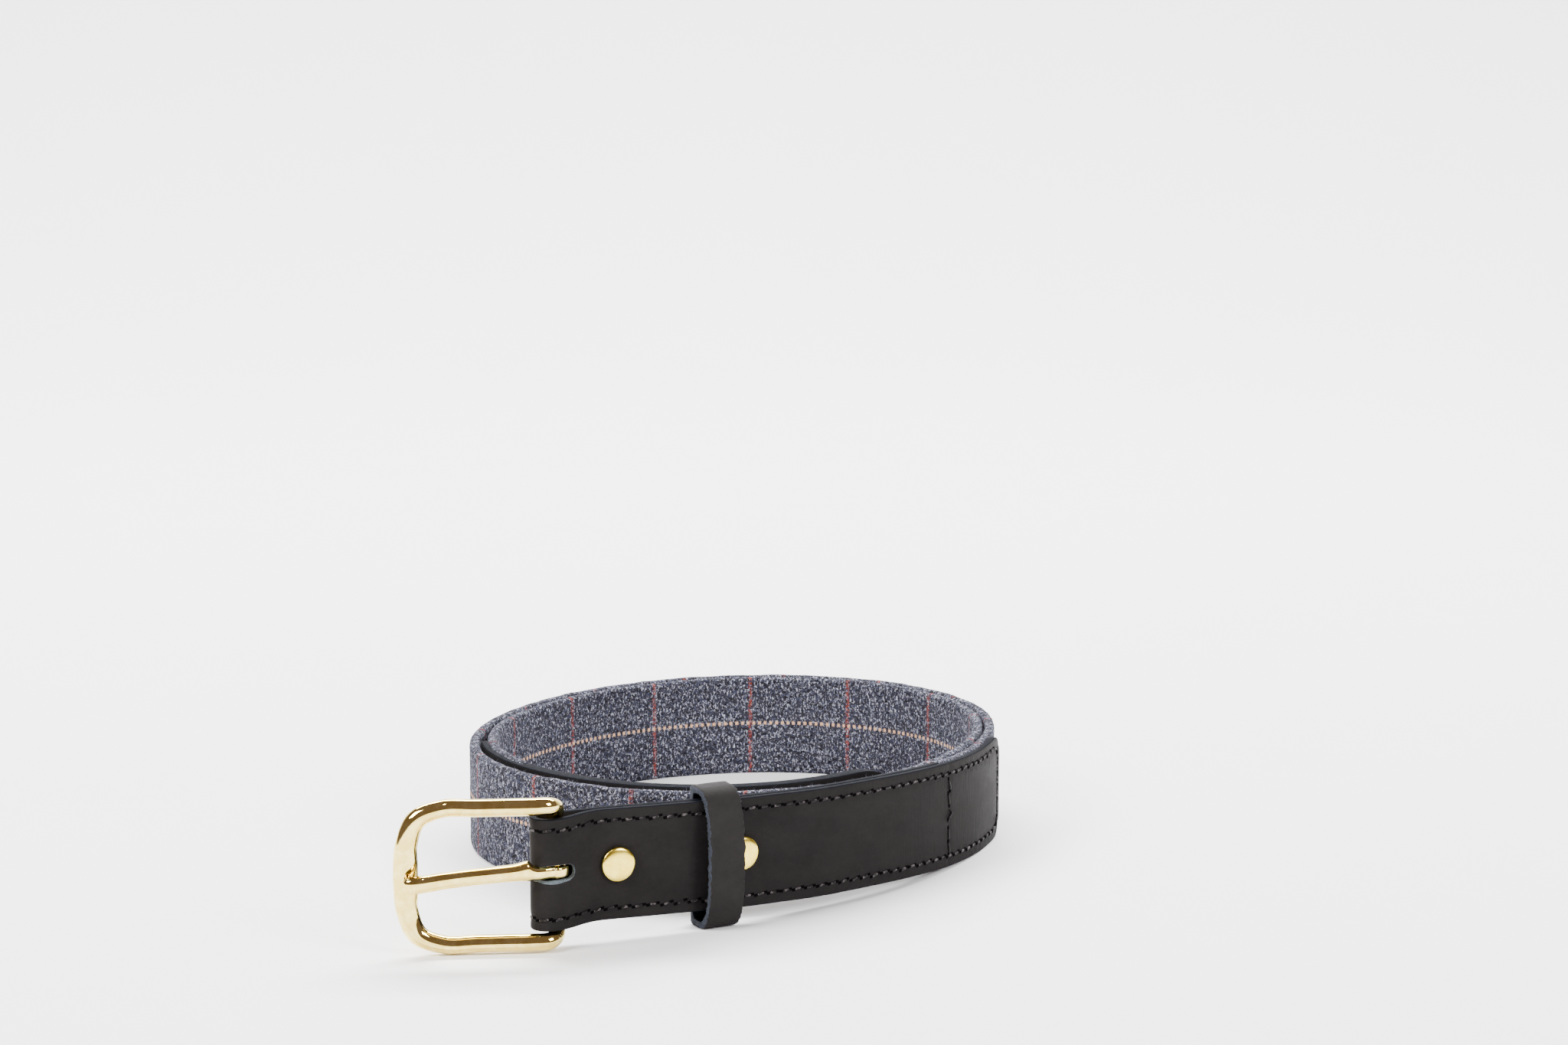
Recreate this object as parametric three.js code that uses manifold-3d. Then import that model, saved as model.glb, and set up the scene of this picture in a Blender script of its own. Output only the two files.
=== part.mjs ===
// A tweed and leather belt with a brass buckle, lying rolled up on its edge.
// Millimetres, +Z up. One plan curve runs from the heel bar of the buckle to the tip of the belt,
// and every ply follows it at its own offset, counted outwards from the roll.
import * as THREE from 'three';
import { mergeVertices } from 'three/addons/utils/BufferGeometryUtils.js';
import Module from 'manifold-3d';

const wasm = await Module();
wasm.setup();

// Driving sizes
const STRAP_WIDTH = 32;
const CLOTH = 3.0;                 // thickness of the tweed strap
const LEATHER = 2.0;               // thickness of one leather ply
const CLEAR = 0.3;                 // gap between pieces that touch
const TURN_PITCH = 3.7;            // from one turn of the roll to the next
const EDGE_BEVEL = 0.4;            // bevel along every cut edge
const STEP = 6;                    // distance between sections along the strap
const CORNER_CUTS = 5;             // sections in a rounded end
const CORNER_REACH = 0.998;        // of its length, so that the last section keeps some height
const FRAME_RINGS = 72;
const FRAME_SIDES = 12;
const PRONG_SIDES = 10;
const ROUND_SIDES = 20;            // of eyes and holes

// The plan curve: where it starts, and its runs of constant bend
const HEEL = { x: -43.72, y: -95.94, heading: 23 };
const TAB_RUNS = [
  { length: 30, turn: 0 },
  { length: 30, turn: 6.5 },
  { length: 30, turn: 11 },
  { length: 30, turn: 11 },
  { length: 30, turn: 10.8 },
  { length: 14, turn: 5.7 },
];
const ROUND_RUNS = [               // right side, back, left side and left of the front
  { length: 20, turn: 8.5 },
  { length: 31, turn: 22 },
  { length: 30, turn: 26 },
  { length: 35, turn: 31 },
  { length: 38.2, turn: 28 },
  { length: 38, turn: 24 },
  { length: 35, turn: 21 },
  { length: 30, turn: 17.5 },
  { length: 30, turn: 19.5 },
  { length: 30, turn: 26 },
  { length: 30, turn: 25.5 },
  { length: 31, turn: 23 },
];
const FRONT_RUNS = [               // behind the tab, back to the right side one pitch further in
  { length: 25.2, turn: 18 },
  { length: 47.2, turn: 36 },
  { length: 55.4, turn: 34 },
];
const TIP_RUNS = [                 // the free end inside the front of the roll
  { length: 28, turn: 24 },
  { length: 28, turn: 25 },
  { length: 27, turn: 23 },
  { length: 27, turn: 21.5 },
  { length: 22, turn: 19.5 },
  { length: 43, turn: 38 },
  { length: 28, turn: 19 },
];

// How high the strap's lower edge stands over the floor along the tab
const LIFTS = [
  { along: -10, lift: 6.0 },
  { along: 2, lift: 6.0 },
  { along: 14, lift: 6.3 },
  { along: 32, lift: 5.9 },
  { along: 62, lift: 4.9 },
  { along: 90, lift: 3.9 },
  { along: 165, lift: 0 },
];

// The tab: one leather strip folded round the heel bar
const TAB_END = 188.6;
const CLOTH_START = 139.7;
const TAB_CORNER = 8;
const FOLD = { start: -2.2, radius: 4, end: 12.4 };  // middle of the leather; closed at the end
const HEEL_OFFSET = 1.5;           // of the heel bar from the plan curve
const SLOT = { height: 5.2, reach: 5.2 };

// The tip
const TIP_LENGTH = 165;
const TIP_OVERLAP = 33;
const TIP_HOLES = { count: 5, first: 62, spacing: 25, radius: 2.2 };
const TIP_POINT = { length: 20, depth: 14.5 };

// The buckle, in its own axes: along to the front bar, up, and out towards the wearer's front
const BUCKLE_YAW = 185;
const BUCKLE_MIDDLE = 22.3;
const HEEL_BAR = 2.2;
const SIDE = { up: 19.4, out: 4.8, across: 2.5, deep: 2.5 };
const FRONT = { along: 41.2, bow: 0.3, across: 3.1, middle: 3.45, deep: 2.3 };
const FRONT_CORNER = 10;

// The prong
const PRONG = { eyeIn: 2.5, eyeOut: 3.9, eyeHeight: 3.0, root: 0, tip: 42 };

// Keeper and rivets
const KEEPER = { along: 49.1, width: 10.8, height: 41, thick: 2, bow: 8.8, back: -5.6 };
const RIVETS = [{ name: 'rivet_front', along: 18.4 }, { name: 'rivet_rear', along: 56.4 }];
const CAP = { radius: 5, height: 1.3, post: 2, back: 4.4, backHeight: 0.8, seat: 0.2 };

const radians = THREE.MathUtils.degToRad;

/** The same runs one pitch further in, where each bend is shorter by its share. */
function nested(runs, pitch) {
  return runs.map(({ length, turn }) => ({ length: length - pitch * radians(turn), turn }));
}

const RUNS = [
  ...TAB_RUNS, ...ROUND_RUNS, ...FRONT_RUNS,
  ...nested(ROUND_RUNS, TURN_PITCH).slice(0, -4), ...TIP_RUNS,
];
const BELT_LENGTH = RUNS.reduce((sum, run) => sum + run.length, 0);
const TIP_START = BELT_LENGTH - TIP_LENGTH;
const CLOTH_END = TIP_START + TIP_OVERLAP;

/** Place and heading of the plan curve at a distance along the belt; it runs straight before 0. */
function planAt(along) {
  let { x, y } = HEEL;
  let heading = radians(HEEL.heading);
  let left = along;
  for (const { length, turn } of RUNS) {
    const part = Math.min(left, length);
    const bend = radians(turn) * part / length;
    const chord = bend === 0 ? part : 2 * part / bend * Math.sin(bend / 2);
    x += chord * Math.cos(heading + bend / 2);
    y += chord * Math.sin(heading + bend / 2);
    heading += bend;
    left -= part;
    if (left <= 0) break;
  }
  return { x, y, heading };
}

/** Height of the strap's lower edge: between two rows, half way from straight to eased. */
function liftAt(along) {
  if (along <= LIFTS[0].along) return LIFTS[0].lift;
  for (let i = 1; i < LIFTS.length; i += 1) {
    const [a, b] = [LIFTS[i - 1], LIFTS[i]];
    if (along <= b.along) {
      const straight = (along - a.along) / (b.along - a.along);
      const eased = THREE.MathUtils.smoothstep(along, a.along, b.along);
      return THREE.MathUtils.lerp(a.lift, b.lift, (straight + eased) / 2);
    }
  }
  return LIFTS[LIFTS.length - 1].lift;
}

/** A point of the belt: distance along it, offset outwards, height over the strap's lower edge. */
function beltPoint(along, outward, up) {
  const { x, y, heading } = planAt(along);
  return new THREE.Vector3(
    x + outward * Math.sin(heading), y - outward * Math.cos(heading), liftAt(along) + up);
}

/** Joins rings of equal size into one closed body; a closed run of rings needs no end caps. */
function loft(rings, closed = false) {
  const size = rings[0].length;
  const points = rings.flat();
  const faces = [];
  const last = closed ? rings.length : rings.length - 1;
  for (let i = 0; i < last; i += 1) {
    const [a, b] = [i * size, ((i + 1) % rings.length) * size];
    for (let j = 0; j < size; j += 1) {
      const k = (j + 1) % size;
      faces.push(a + j, a + k, b + k, a + j, b + k, b + j);
    }
  }
  if (!closed) {
    const end = (rings.length - 1) * size;
    for (let j = 1; j < size - 1; j += 1) {
      faces.push(0, j + 1, j, end, end + j, end + j + 1);
    }
  }
  const geometry = new THREE.BufferGeometry().setFromPoints(points);
  geometry.setIndex(faces);
  return outwardFacing(geometry);
}

/** Turns the faces round if the body came out inside out. */
function outwardFacing(geometry) {
  const points = geometry.getAttribute('position');
  const index = geometry.getIndex().array;
  const [a, b, c] = [new THREE.Vector3(), new THREE.Vector3(), new THREE.Vector3()];
  let volume = 0;
  for (let i = 0; i < index.length; i += 3) {
    a.fromBufferAttribute(points, index[i]);
    b.fromBufferAttribute(points, index[i + 1]);
    c.fromBufferAttribute(points, index[i + 2]);
    volume += a.dot(b.cross(c));
  }
  if (volume < 0) {
    for (let i = 0; i < index.length; i += 3) {
      [index[i], index[i + 1]] = [index[i + 1], index[i]];
    }
  }
  return geometry;
}

/** Bevelled section of a ply: pairs of offset across the thickness and height. */
function plySection(inner, outer, low, high) {
  const c = Math.min(EDGE_BEVEL, (high - low) / 4);
  return [
    [inner + c, low], [outer - c, low], [outer, low + c], [outer, high - c],
    [outer - c, high], [inner + c, high], [inner, high - c], [inner, low + c],
  ];
}

/** Distances along a ply, closer together at its rounded end. */
function stations(from, to, cornerLength = 0) {
  const straight = to - cornerLength;
  const count = Math.ceil((straight - from) / STEP);
  const list = Array.from({ length: count + 1 }, (_, i) => from + (straight - from) * i / count);
  const cuts = cornerLength > 0 ? CORNER_CUTS : 0;
  for (let i = 1; i <= cuts; i += 1) {
    list.push(straight + cornerLength * Math.sin(i / cuts * Math.PI / 2) * CORNER_REACH);
  }
  return list;
}

/** How far a rounded end draws in from the strap's edges. */
function cornerInset(along, end, { length, depth }) {
  const t = Math.max(0, (along - (end - length)) / length);
  return depth * (1 - Math.sqrt(Math.max(0, 1 - t * t)));
}

function geometryOf(solid) {
  const { vertProperties, triVerts } = solid.getMesh();
  const geometry = new THREE.BufferGeometry();
  geometry.setAttribute('position', new THREE.BufferAttribute(vertProperties, 3));
  geometry.setIndex(new THREE.BufferAttribute(triVerts, 1));
  return geometry;
}

function solidOf(geometry) {
  const bare = geometry.clone();
  bare.deleteAttribute('normal');
  bare.deleteAttribute('uv');
  const merged = mergeVertices(bare, 1e-4);
  return new wasm.Manifold(new wasm.Mesh({
    numProp: 3,
    vertProperties: new Float32Array(merged.getAttribute('position').array),
    triVerts: new Uint32Array(merged.getIndex().array),
  }));
}

function cut(geometry, cutters) {
  return geometryOf(cutters.reduce((solid, cutter) => solid.subtract(solidOf(cutter)), solidOf(geometry)));
}

/** Turns local axes (x along the belt, y inwards, z up) to a place on the belt. */
function placeOnBelt(geometry, along, outward, up) {
  const { heading } = planAt(along);
  geometry.rotateZ(heading);
  const place = beltPoint(along, outward, up);
  return geometry.translate(place.x, place.y, place.z);
}

/** A round cutter through the thickness of the belt. */
function holeCutter(along, radius) {
  const depth = 16;
  const cutter = new THREE.CylinderGeometry(radius, radius, depth, ROUND_SIDES);
  return placeOnBelt(cutter, along, 0, STRAP_WIDTH / 2);
}

function tweedStrap() {
  const rings = stations(CLOTH_START, CLOTH_END).map((along) => (
    plySection(-CLOTH - CLEAR / 2, -CLEAR / 2, 0, STRAP_WIDTH)
      .map(([outward, up]) => beltPoint(along, outward, up))));
  return loft(rings);
}

/** Offset of a ply's middle: closed on its neighbour, or opened round the heel bar. */
function plyMiddle(along, side) {
  const closed = side * (LEATHER + CLEAR) / 2;
  const open = HEEL_OFFSET + side * FOLD.radius;
  return THREE.MathUtils.lerp(open, closed, THREE.MathUtils.smoothstep(along, FOLD.start, FOLD.end));
}

/** Rings of one tab ply, running away from the fold. */
function tabPlyRings(side, end, corner) {
  const cuts = 7;
  const near = Array.from({ length: cuts }, (_, i) => FOLD.start + (FOLD.end - FOLD.start) * i / cuts);
  const half = LEATHER / 2;
  return [...near, ...stations(FOLD.end, end, corner)].map((along) => {
    const inset = corner > 0 ? cornerInset(along, end, { length: corner, depth: corner }) : 0;
    const middle = plyMiddle(along, side);
    return plySection(-half, half, inset, STRAP_WIDTH - inset)
      .map(([across, up]) => beltPoint(along, middle + across * side, up));
  });
}

/** Rings of the fold itself, from the inner ply round to the outer one. */
function foldRings() {
  const axis = beltPoint(FOLD.start, HEEL_OFFSET, 0);
  const { heading } = planAt(FOLD.start);
  const half = LEATHER / 2;
  const rings = [];
  for (let angle = 165; angle > 0; angle -= 15) {
    const turn = heading - Math.PI / 2 - radians(angle);
    rings.push(plySection(-half, half, 0, STRAP_WIDTH).map(([across, up]) => {
      const radius = FOLD.radius + across;
      return new THREE.Vector3(
        axis.x + radius * Math.cos(turn), axis.y + radius * Math.sin(turn), axis.z + up);
    }));
  }
  return rings;
}

/** Oblong cutter for the prong's slot, standing across the fold. */
function slotCutter() {
  const shape = new THREE.Shape();
  const half = SLOT.height / 2;
  const left = FOLD.start - FOLD.radius - LEATHER;
  shape.moveTo(left, -half);
  shape.lineTo(SLOT.reach - half, -half);
  shape.absarc(SLOT.reach - half, 0, half, -Math.PI / 2, Math.PI / 2);
  shape.lineTo(left, half);
  const cutter = new THREE.ExtrudeGeometry(shape, { depth: 20, bevelEnabled: false, curveSegments: 8 });
  cutter.translate(0, 0, -10).rotateX(Math.PI / 2);
  return placeOnBelt(cutter, 0, HEEL_OFFSET, BUCKLE_MIDDLE - liftAt(0));
}

function buckleTab() {
  const inner = tabPlyRings(-1, CLOTH_START - CLEAR, 0).reverse();
  const outer = tabPlyRings(1, TAB_END, TAB_CORNER);
  const strip = loft([...inner, ...foldRings(), ...outer]);
  return cut(strip, [slotCutter(), ...RIVETS.map(({ along }) => holeCutter(along, CAP.post + CLEAR))]);
}

/** Leather end: an outer ply over the tweed, then twice as thick to the point. */
function leatherTip() {
  const end = BELT_LENGTH;
  const overlap = TIP_OVERLAP + CLEAR;
  const list = [
    ...stations(TIP_START, TIP_START + overlap),
    ...stations(TIP_START + overlap + 0.1, end, TIP_POINT.length),
  ];
  const rings = list.map((along) => {
    const inset = cornerInset(along, end, TIP_POINT);
    const inner = along <= TIP_START + overlap ? CLEAR / 2 : -LEATHER - CLEAR / 2;
    return plySection(inner, LEATHER + CLEAR / 2, inset, STRAP_WIDTH - inset)
      .map(([outward, up]) => beltPoint(along, outward, up));
  });
  const { count, first, spacing, radius } = TIP_HOLES;
  const holes = Array.from({ length: count }, (_, i) => holeCutter(end - first - i * spacing, radius));
  return cut(loft(rings), holes);
}

/** Closed curve round the frame: heel bar, side bars swept forward, front bar. */
function framePath() {
  const { up, out } = SIDE;
  const corner = FRONT_CORNER;
  const bend = corner * (1 - Math.SQRT1_2);
  const half = [
    [0, 9, 0], [0, up - 2.8, 0], [-0.3, up - 0.2, 2.0], [2.2, up, out - 0.5], [8, up, out], [20, up, out],
    [FRONT.along - corner, up, out], [FRONT.along - bend, up - bend, out],
    [FRONT.along, up - corner, out], [FRONT.along + FRONT.bow, 3, out],
  ];
  const lower = half.map(([a, u, o]) => [a, -u, o]).reverse();
  const points = [...half, ...lower].map(([a, u, o]) => new THREE.Vector3(a, o, u));
  return new THREE.CatmullRomCurve3(points, true, 'centripetal');
}

/** Half width and half depth of the bar at a point of the frame. */
function barSection(point) {
  const { lerp, smoothstep } = THREE.MathUtils;
  const toSide = smoothstep(point.y, 0, SIDE.out);
  const toFront = smoothstep(point.x, FRONT.along - FRONT_CORNER, FRONT.along);
  const toMiddle = 1 - smoothstep(Math.abs(point.z), 2, SIDE.up - FRONT_CORNER);
  const front = lerp(FRONT.across, FRONT.middle, toMiddle);
  return {
    across: lerp(lerp(HEEL_BAR, SIDE.across, toSide), front, toFront),
    deep: lerp(lerp(HEEL_BAR, SIDE.deep, toSide), FRONT.deep, toFront),
  };
}

/** Oval rings along a curve whose sections stand square to it. */
function ovalRing(point, tangent, across, deep, sides) {
  const flat = new THREE.Vector3(tangent.z, 0, -tangent.x).normalize();
  const normal = new THREE.Vector3().crossVectors(tangent, flat).normalize();
  return Array.from({ length: sides }, (_, i) => {
    const angle = i / sides * 2 * Math.PI;
    return point.clone()
      .addScaledVector(flat, across * Math.cos(angle))
      .addScaledVector(normal, deep * Math.sin(angle));
  });
}

function buckleFrame() {
  const path = framePath();
  const rings = Array.from({ length: FRAME_RINGS }, (_, i) => {
    const point = path.getPointAt(i / FRAME_RINGS);
    const { across, deep } = barSection(point);
    return ovalRing(point, path.getTangentAt(i / FRAME_RINGS), across, deep, FRAME_SIDES);
  });
  return loft(rings, true);
}

/** The prong: an eye round the heel bar and a tongue that lies on the front bar. */
function prong() {
  const { eyeIn, eyeOut, eyeHeight, root, tip } = PRONG;
  const [low, high] = [-eyeHeight / 2, eyeHeight / 2];
  const profile = [[eyeIn, low], [eyeOut, low], [eyeOut, high], [eyeIn, high], [eyeIn, low]];
  const eye = new THREE.LatheGeometry(profile.map(([r, h]) => new THREE.Vector2(r, h)), ROUND_SIDES);
  eye.rotateX(Math.PI / 2).translate(0, 0, root);
  const rest = SIDE.out + FRONT.deep + CLEAR;
  const rows = [
    { along: 0.3, out: 3.1, up: root, wide: 1.35, deep: 0.7 },
    { along: 3.2, out: 4.0, up: 0.1, wide: 1.6, deep: 1.2 },
    { along: 5.2, out: 4.9, up: 0.4, wide: 1.8, deep: 1.6 },
    { along: 6.4, out: 5.4, up: 0.7, wide: 2.1, deep: 1.8 },
    { along: 7.7, out: 5.7, up: 1.4, wide: 2.8, deep: 2.1 },
    { along: 12, out: 6.2, up: 1.2, wide: 2.4, deep: 2.2 },
    { along: 24, out: 7.5, up: 0.4, wide: 2.3, deep: 2.1 },
    { along: 36, out: rest + 2.1, up: -0.6, wide: 2.4, deep: 2.1 },
    { along: 40, out: rest + 2.0, up: -1.0, wide: 2.4, deep: 2.0 },
    { along: tip - 0.6, out: rest + 1.6, up: -1.2, wide: 2.0, deep: 1.6 },
    { along: tip, out: rest + 1.3, up: -1.2, wide: 1.2, deep: 0.9 },
  ];
  const rings = rows.map(({ along, out, up, wide, deep }) => (
    Array.from({ length: PRONG_SIDES }, (_, i) => {
      const angle = i / PRONG_SIDES * 2 * Math.PI;
      return new THREE.Vector3(along, out + deep * Math.cos(angle), up + wide * Math.sin(angle));
    })));
  const bore = new THREE.CylinderGeometry(eyeIn, eyeIn, 4 * eyeHeight, ROUND_SIDES);
  bore.rotateX(Math.PI / 2).translate(0, 0, root);
  return geometryOf(solidOf(eye).add(solidOf(loft(rings))).subtract(solidOf(bore)));
}

/** Outline of the keeper in offset and height, drawn in by an even margin. */
function keeperOutline(margin) {
  const { height, bow, back } = KEEPER;
  const middle = height / 2;
  const start = -0.5;
  const points = [];
  const power = 2.5;
  for (let i = 0; i <= 20; i += 1) {
    const t = Math.sin((i / 10 - 1) * Math.PI / 2);
    const swell = Math.pow(1 - Math.pow(Math.abs(t), power), 1 / power);
    points.push([start + (bow - margin) * swell, middle + (middle - margin) * t]);
  }
  const corner = 1.6;
  const low = margin;
  const high = height - margin;
  const rear = back + margin;
  return [...points, [rear + corner, high], [rear + corner * 0.3, high - corner * 0.3], [rear, high - corner],
    [rear, low + corner], [rear + corner * 0.3, low + corner * 0.3], [rear + corner, low]];
}

function keeperLoop() {
  const asVector = ([outward, up]) => new THREE.Vector2(outward, up);
  const shape = new THREE.Shape(keeperOutline(0).map(asVector));
  shape.holes.push(new THREE.Path(keeperOutline(KEEPER.thick).map(asVector)));
  const loop = new THREE.ExtrudeGeometry(shape, { depth: KEEPER.width, bevelEnabled: false });
  loop.translate(0, 0, -KEEPER.width / 2);
  // outline axes: x outwards, y up, and the depth along the belt
  loop.applyMatrix4(new THREE.Matrix4().makeBasis(
    new THREE.Vector3(0, -1, 0), new THREE.Vector3(0, 0, 1), new THREE.Vector3(-1, 0, 0)));
  return placeOnBelt(loop, KEEPER.along, 0, -liftAt(KEEPER.along));
}

function rivet(along) {
  const face = LEATHER + CLEAR / 2 + CAP.seat;
  const profile = [
    [0, -face - CAP.backHeight], [CAP.back, -face - CAP.backHeight * 0.6], [CAP.back, -face],
    [CAP.post, -face], [CAP.post, face], [CAP.radius, face], [CAP.radius, face + CAP.height * 0.4],
    [CAP.radius - 0.5, face + CAP.height * 0.8], [CAP.radius * 0.6, face + CAP.height],
    [0, face + CAP.height],
  ];
  const turned = new THREE.LatheGeometry(profile.map(([r, h]) => new THREE.Vector2(r, h)), 28);
  turned.rotateX(Math.PI);
  return placeOnBelt(turned, along, 0, STRAP_WIDTH / 2);
}

const leather = { color: 0x2c2a2b, roughness: 0.55, metalness: 0 };
const brass = { color: 0xd9b968, roughness: 0.18, metalness: 1 };
const tweed = { color: 0x4b4b55, roughness: 0.95, metalness: 0 };

function named(name, geometry, look) {
  const mesh = new THREE.Mesh(geometry, new THREE.MeshStandardMaterial(look));
  mesh.name = name;
  return mesh;
}

const group = new THREE.Group();
group.add(
  named('tweed_strap', tweedStrap(), tweed),
  named('buckle_tab', buckleTab(), leather),
  named('keeper_loop', keeperLoop(), leather),
  named('leather_tip', leatherTip(), leather),
  ...RIVETS.map(({ name, along }) => named(name, rivet(along), brass)),
);

// The buckle turns on the heel bar, which stands in the fold of the tab
const buckle = new THREE.Group();
const heel = beltPoint(0, HEEL_OFFSET, 0);
buckle.position.set(heel.x, heel.y, BUCKLE_MIDDLE);
buckle.rotation.z = radians(BUCKLE_YAW);
buckle.add(named('buckle_frame', buckleFrame(), brass), named('prong', prong(), brass));
group.add(buckle);

export default group;
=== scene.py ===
import math

import bpy
import numpy as np
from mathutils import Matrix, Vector


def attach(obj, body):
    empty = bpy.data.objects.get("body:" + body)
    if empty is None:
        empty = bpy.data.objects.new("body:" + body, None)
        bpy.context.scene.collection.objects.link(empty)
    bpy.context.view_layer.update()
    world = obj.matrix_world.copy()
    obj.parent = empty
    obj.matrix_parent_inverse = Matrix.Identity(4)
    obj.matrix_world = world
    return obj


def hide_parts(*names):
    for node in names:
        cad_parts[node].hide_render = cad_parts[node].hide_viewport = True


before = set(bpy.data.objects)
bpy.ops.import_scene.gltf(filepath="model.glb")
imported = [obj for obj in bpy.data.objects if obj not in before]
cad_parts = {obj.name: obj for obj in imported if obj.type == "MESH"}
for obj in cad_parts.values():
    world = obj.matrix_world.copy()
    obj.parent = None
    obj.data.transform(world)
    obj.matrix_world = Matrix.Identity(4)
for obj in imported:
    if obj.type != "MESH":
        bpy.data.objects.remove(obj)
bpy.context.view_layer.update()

# A tweed and leather belt, rolled up on its edge. Sizes are in millimetres until a mesh is made.
MM = 0.001
noise = np.random.default_rng(32)

# Driving sizes, the same as those of the solids
STRAP_WIDTH = 32.0
CLOTH = 3.0
LEATHER = 2.0
PLY_GAP = 0.3
TURN_PITCH = 3.7
HEEL = (-43.72, -95.94, 23.0)          # x, y and heading where the plan curve starts
TAB_RUNS = [(30, 0), (30, 6.5), (30, 11), (30, 11), (30, 10.8), (14, 5.7)]
ROUND_RUNS = [
    (20, 8.5), (31, 22), (30, 26), (35, 31), (38.2, 28), (38, 24),
    (35, 21), (30, 17.5), (30, 19.5), (30, 26), (30, 25.5), (31, 23),
]
FRONT_RUNS = [(25.2, 18), (47.2, 36), (55.4, 34)]
TIP_RUNS = [(28, 24), (28, 25), (27, 23), (27, 21.5), (22, 19.5), (43, 38), (28, 19)]
LIFTS = [(-10, 6.0), (2, 6.0), (14, 6.3), (32, 5.9), (62, 4.9), (90, 3.9), (165, 0.0)]
TAB_END, TAB_CORNER, CLOTH_START = 188.6, 8.0, 139.7
TIP_LENGTH, TIP_OVERLAP = 165.0, 33.0
FOLD_START, FOLD_RADIUS, FOLD_END, HEEL_OFFSET = -2.2, 4.0, 12.4, 1.5
# Depth, height and reach of the prong's slot
SLOT_SECTIONS = [(-8.0, 4.2, 4.8), (3.1, 4.2, 4.8), (5.1, 5.5, 5.6), (8.0, 5.5, 5.6)]
BUCKLE_YAW, BUCKLE_MIDDLE = 185.0, 22.3
SEAM_INSET, STITCH_PITCH = 3.3, 4.2
CROSS_SEAM = 141.3
RIVETS = {"rivet_front": 18.4, "rivet_rear": 56.4}
KEEPER_ALONG, KEEPER_WIDTH, KEEPER_HEIGHT, KEEPER_THICK = 49.1, 10.8, 41.0, 2.0


# The plan curve

def nested(runs, pitch):
    """The same runs one pitch further in."""
    return [(length - pitch * math.radians(turn), turn) for length, turn in runs]


RUNS = TAB_RUNS + ROUND_RUNS + FRONT_RUNS + nested(ROUND_RUNS, TURN_PITCH)[:-4] + TIP_RUNS
BELT_LENGTH = sum(length for length, _ in RUNS)
TIP_START = BELT_LENGTH - TIP_LENGTH


def trace(runs, start, lead=20.0, step=0.5):
    """Distances, places and headings along the runs, with a straight lead before them."""
    x, y, heading = start[0], start[1], math.radians(start[2])
    rows = [
        (-lead, x - lead * math.cos(heading), y - lead * math.sin(heading), heading),
        (0.0, x, y, heading)]
    along = 0.0
    for length, turn in runs:
        count = math.ceil(length / step)
        piece, bend = length / count, math.radians(turn) / count
        for _ in range(count):
            x += piece * math.cos(heading + bend / 2)
            y += piece * math.sin(heading + bend / 2)
            heading += bend
            along += piece
            rows.append((along, x, y, heading))
    return np.array(rows).T


CURVE = trace(RUNS, HEEL)


def plan_at(along):
    """x, y and heading of the plan curve."""
    return [np.interp(along, CURVE[0], row) for row in CURVE[1:]]


def smooth(value, low, high):
    t = np.clip((value - low) / (high - low), 0.0, 1.0)
    return t * t * (3 - 2 * t)


def lift_at(along):
    """Height of the strap's lower edge, half straight and half eased between the rows."""
    keys, values = zip(*LIFTS)
    along = np.asarray(along, float)
    straight = np.interp(along, keys, values)
    eased = np.full_like(along, values[0])
    for (a, low), (b, high) in zip(LIFTS, LIFTS[1:]):
        eased = np.where(along >= a, low + (high - low) * smooth(along, a, b), eased)
    return (straight + eased) / 2


def belt_points(along, outward, up):
    """Places in millimetres of distances along the belt, offsets outwards and heights."""
    along, outward, up = np.broadcast_arrays(*(np.asarray(v, float) for v in (along, outward, up)))
    x, y, heading = plan_at(along)
    return np.stack(
        [x + outward * np.sin(heading), y - outward * np.cos(heading), lift_at(along) + up], axis=-1)


def square_points(along, runs, outward, ups):
    """Places square to the belt at one distance along it, in the middle of its width."""
    heading = float(plan_at(along)[2])
    runs, outward, ups = np.broadcast_arrays(runs, outward, ups)
    return belt_points(along, 0.0, STRAP_WIDTH / 2) + np.stack([
        runs * math.cos(heading) + outward * math.sin(heading),
        runs * math.sin(heading) - outward * math.cos(heading), ups], axis=-1)


# Mesh helpers

def make_object(name, points, faces, materials, slots=None, data=None):
    """A mesh object from points in millimetres; data are belt coordinates kept for the materials."""
    mesh = bpy.data.meshes.new(name)
    mesh.from_pydata((np.asarray(points) * MM).tolist(), [], faces)
    for material in materials:
        mesh.materials.append(material)
    if slots is not None:
        mesh.polygons.foreach_set("material_index", slots)
    mesh.polygons.foreach_set("use_smooth", [True] * len(mesh.polygons))
    if data is not None:
        store_coordinates(mesh, data)
    mesh.update()
    thing = bpy.data.objects.new(name, mesh)
    bpy.context.scene.collection.objects.link(thing)
    return thing


def store_coordinates(mesh, data):
    """Keeps distance along, height and depth, in millimetres, on every vertex."""
    layer = mesh.attributes.get("belt") or mesh.attributes.new("belt", "FLOAT_VECTOR", "POINT")
    layer.data.foreach_set("vector", np.asarray(data, float).ravel())


def loft_faces(rings, size, closed=False):
    """Quads between rings of equal size, with end caps unless the run of rings is closed."""
    faces = []
    last = rings if closed else rings - 1
    for i in range(last):
        a, b = i * size, ((i + 1) % rings) * size
        for j in range(size):
            k = (j + 1) % size
            faces.append((a + j, a + k, b + k, b + j))
    if not closed:
        end = (rings - 1) * size
        faces.append(tuple(range(size))[::-1])
        faces.append(tuple(range(end, end + size)))
    return faces


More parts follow.
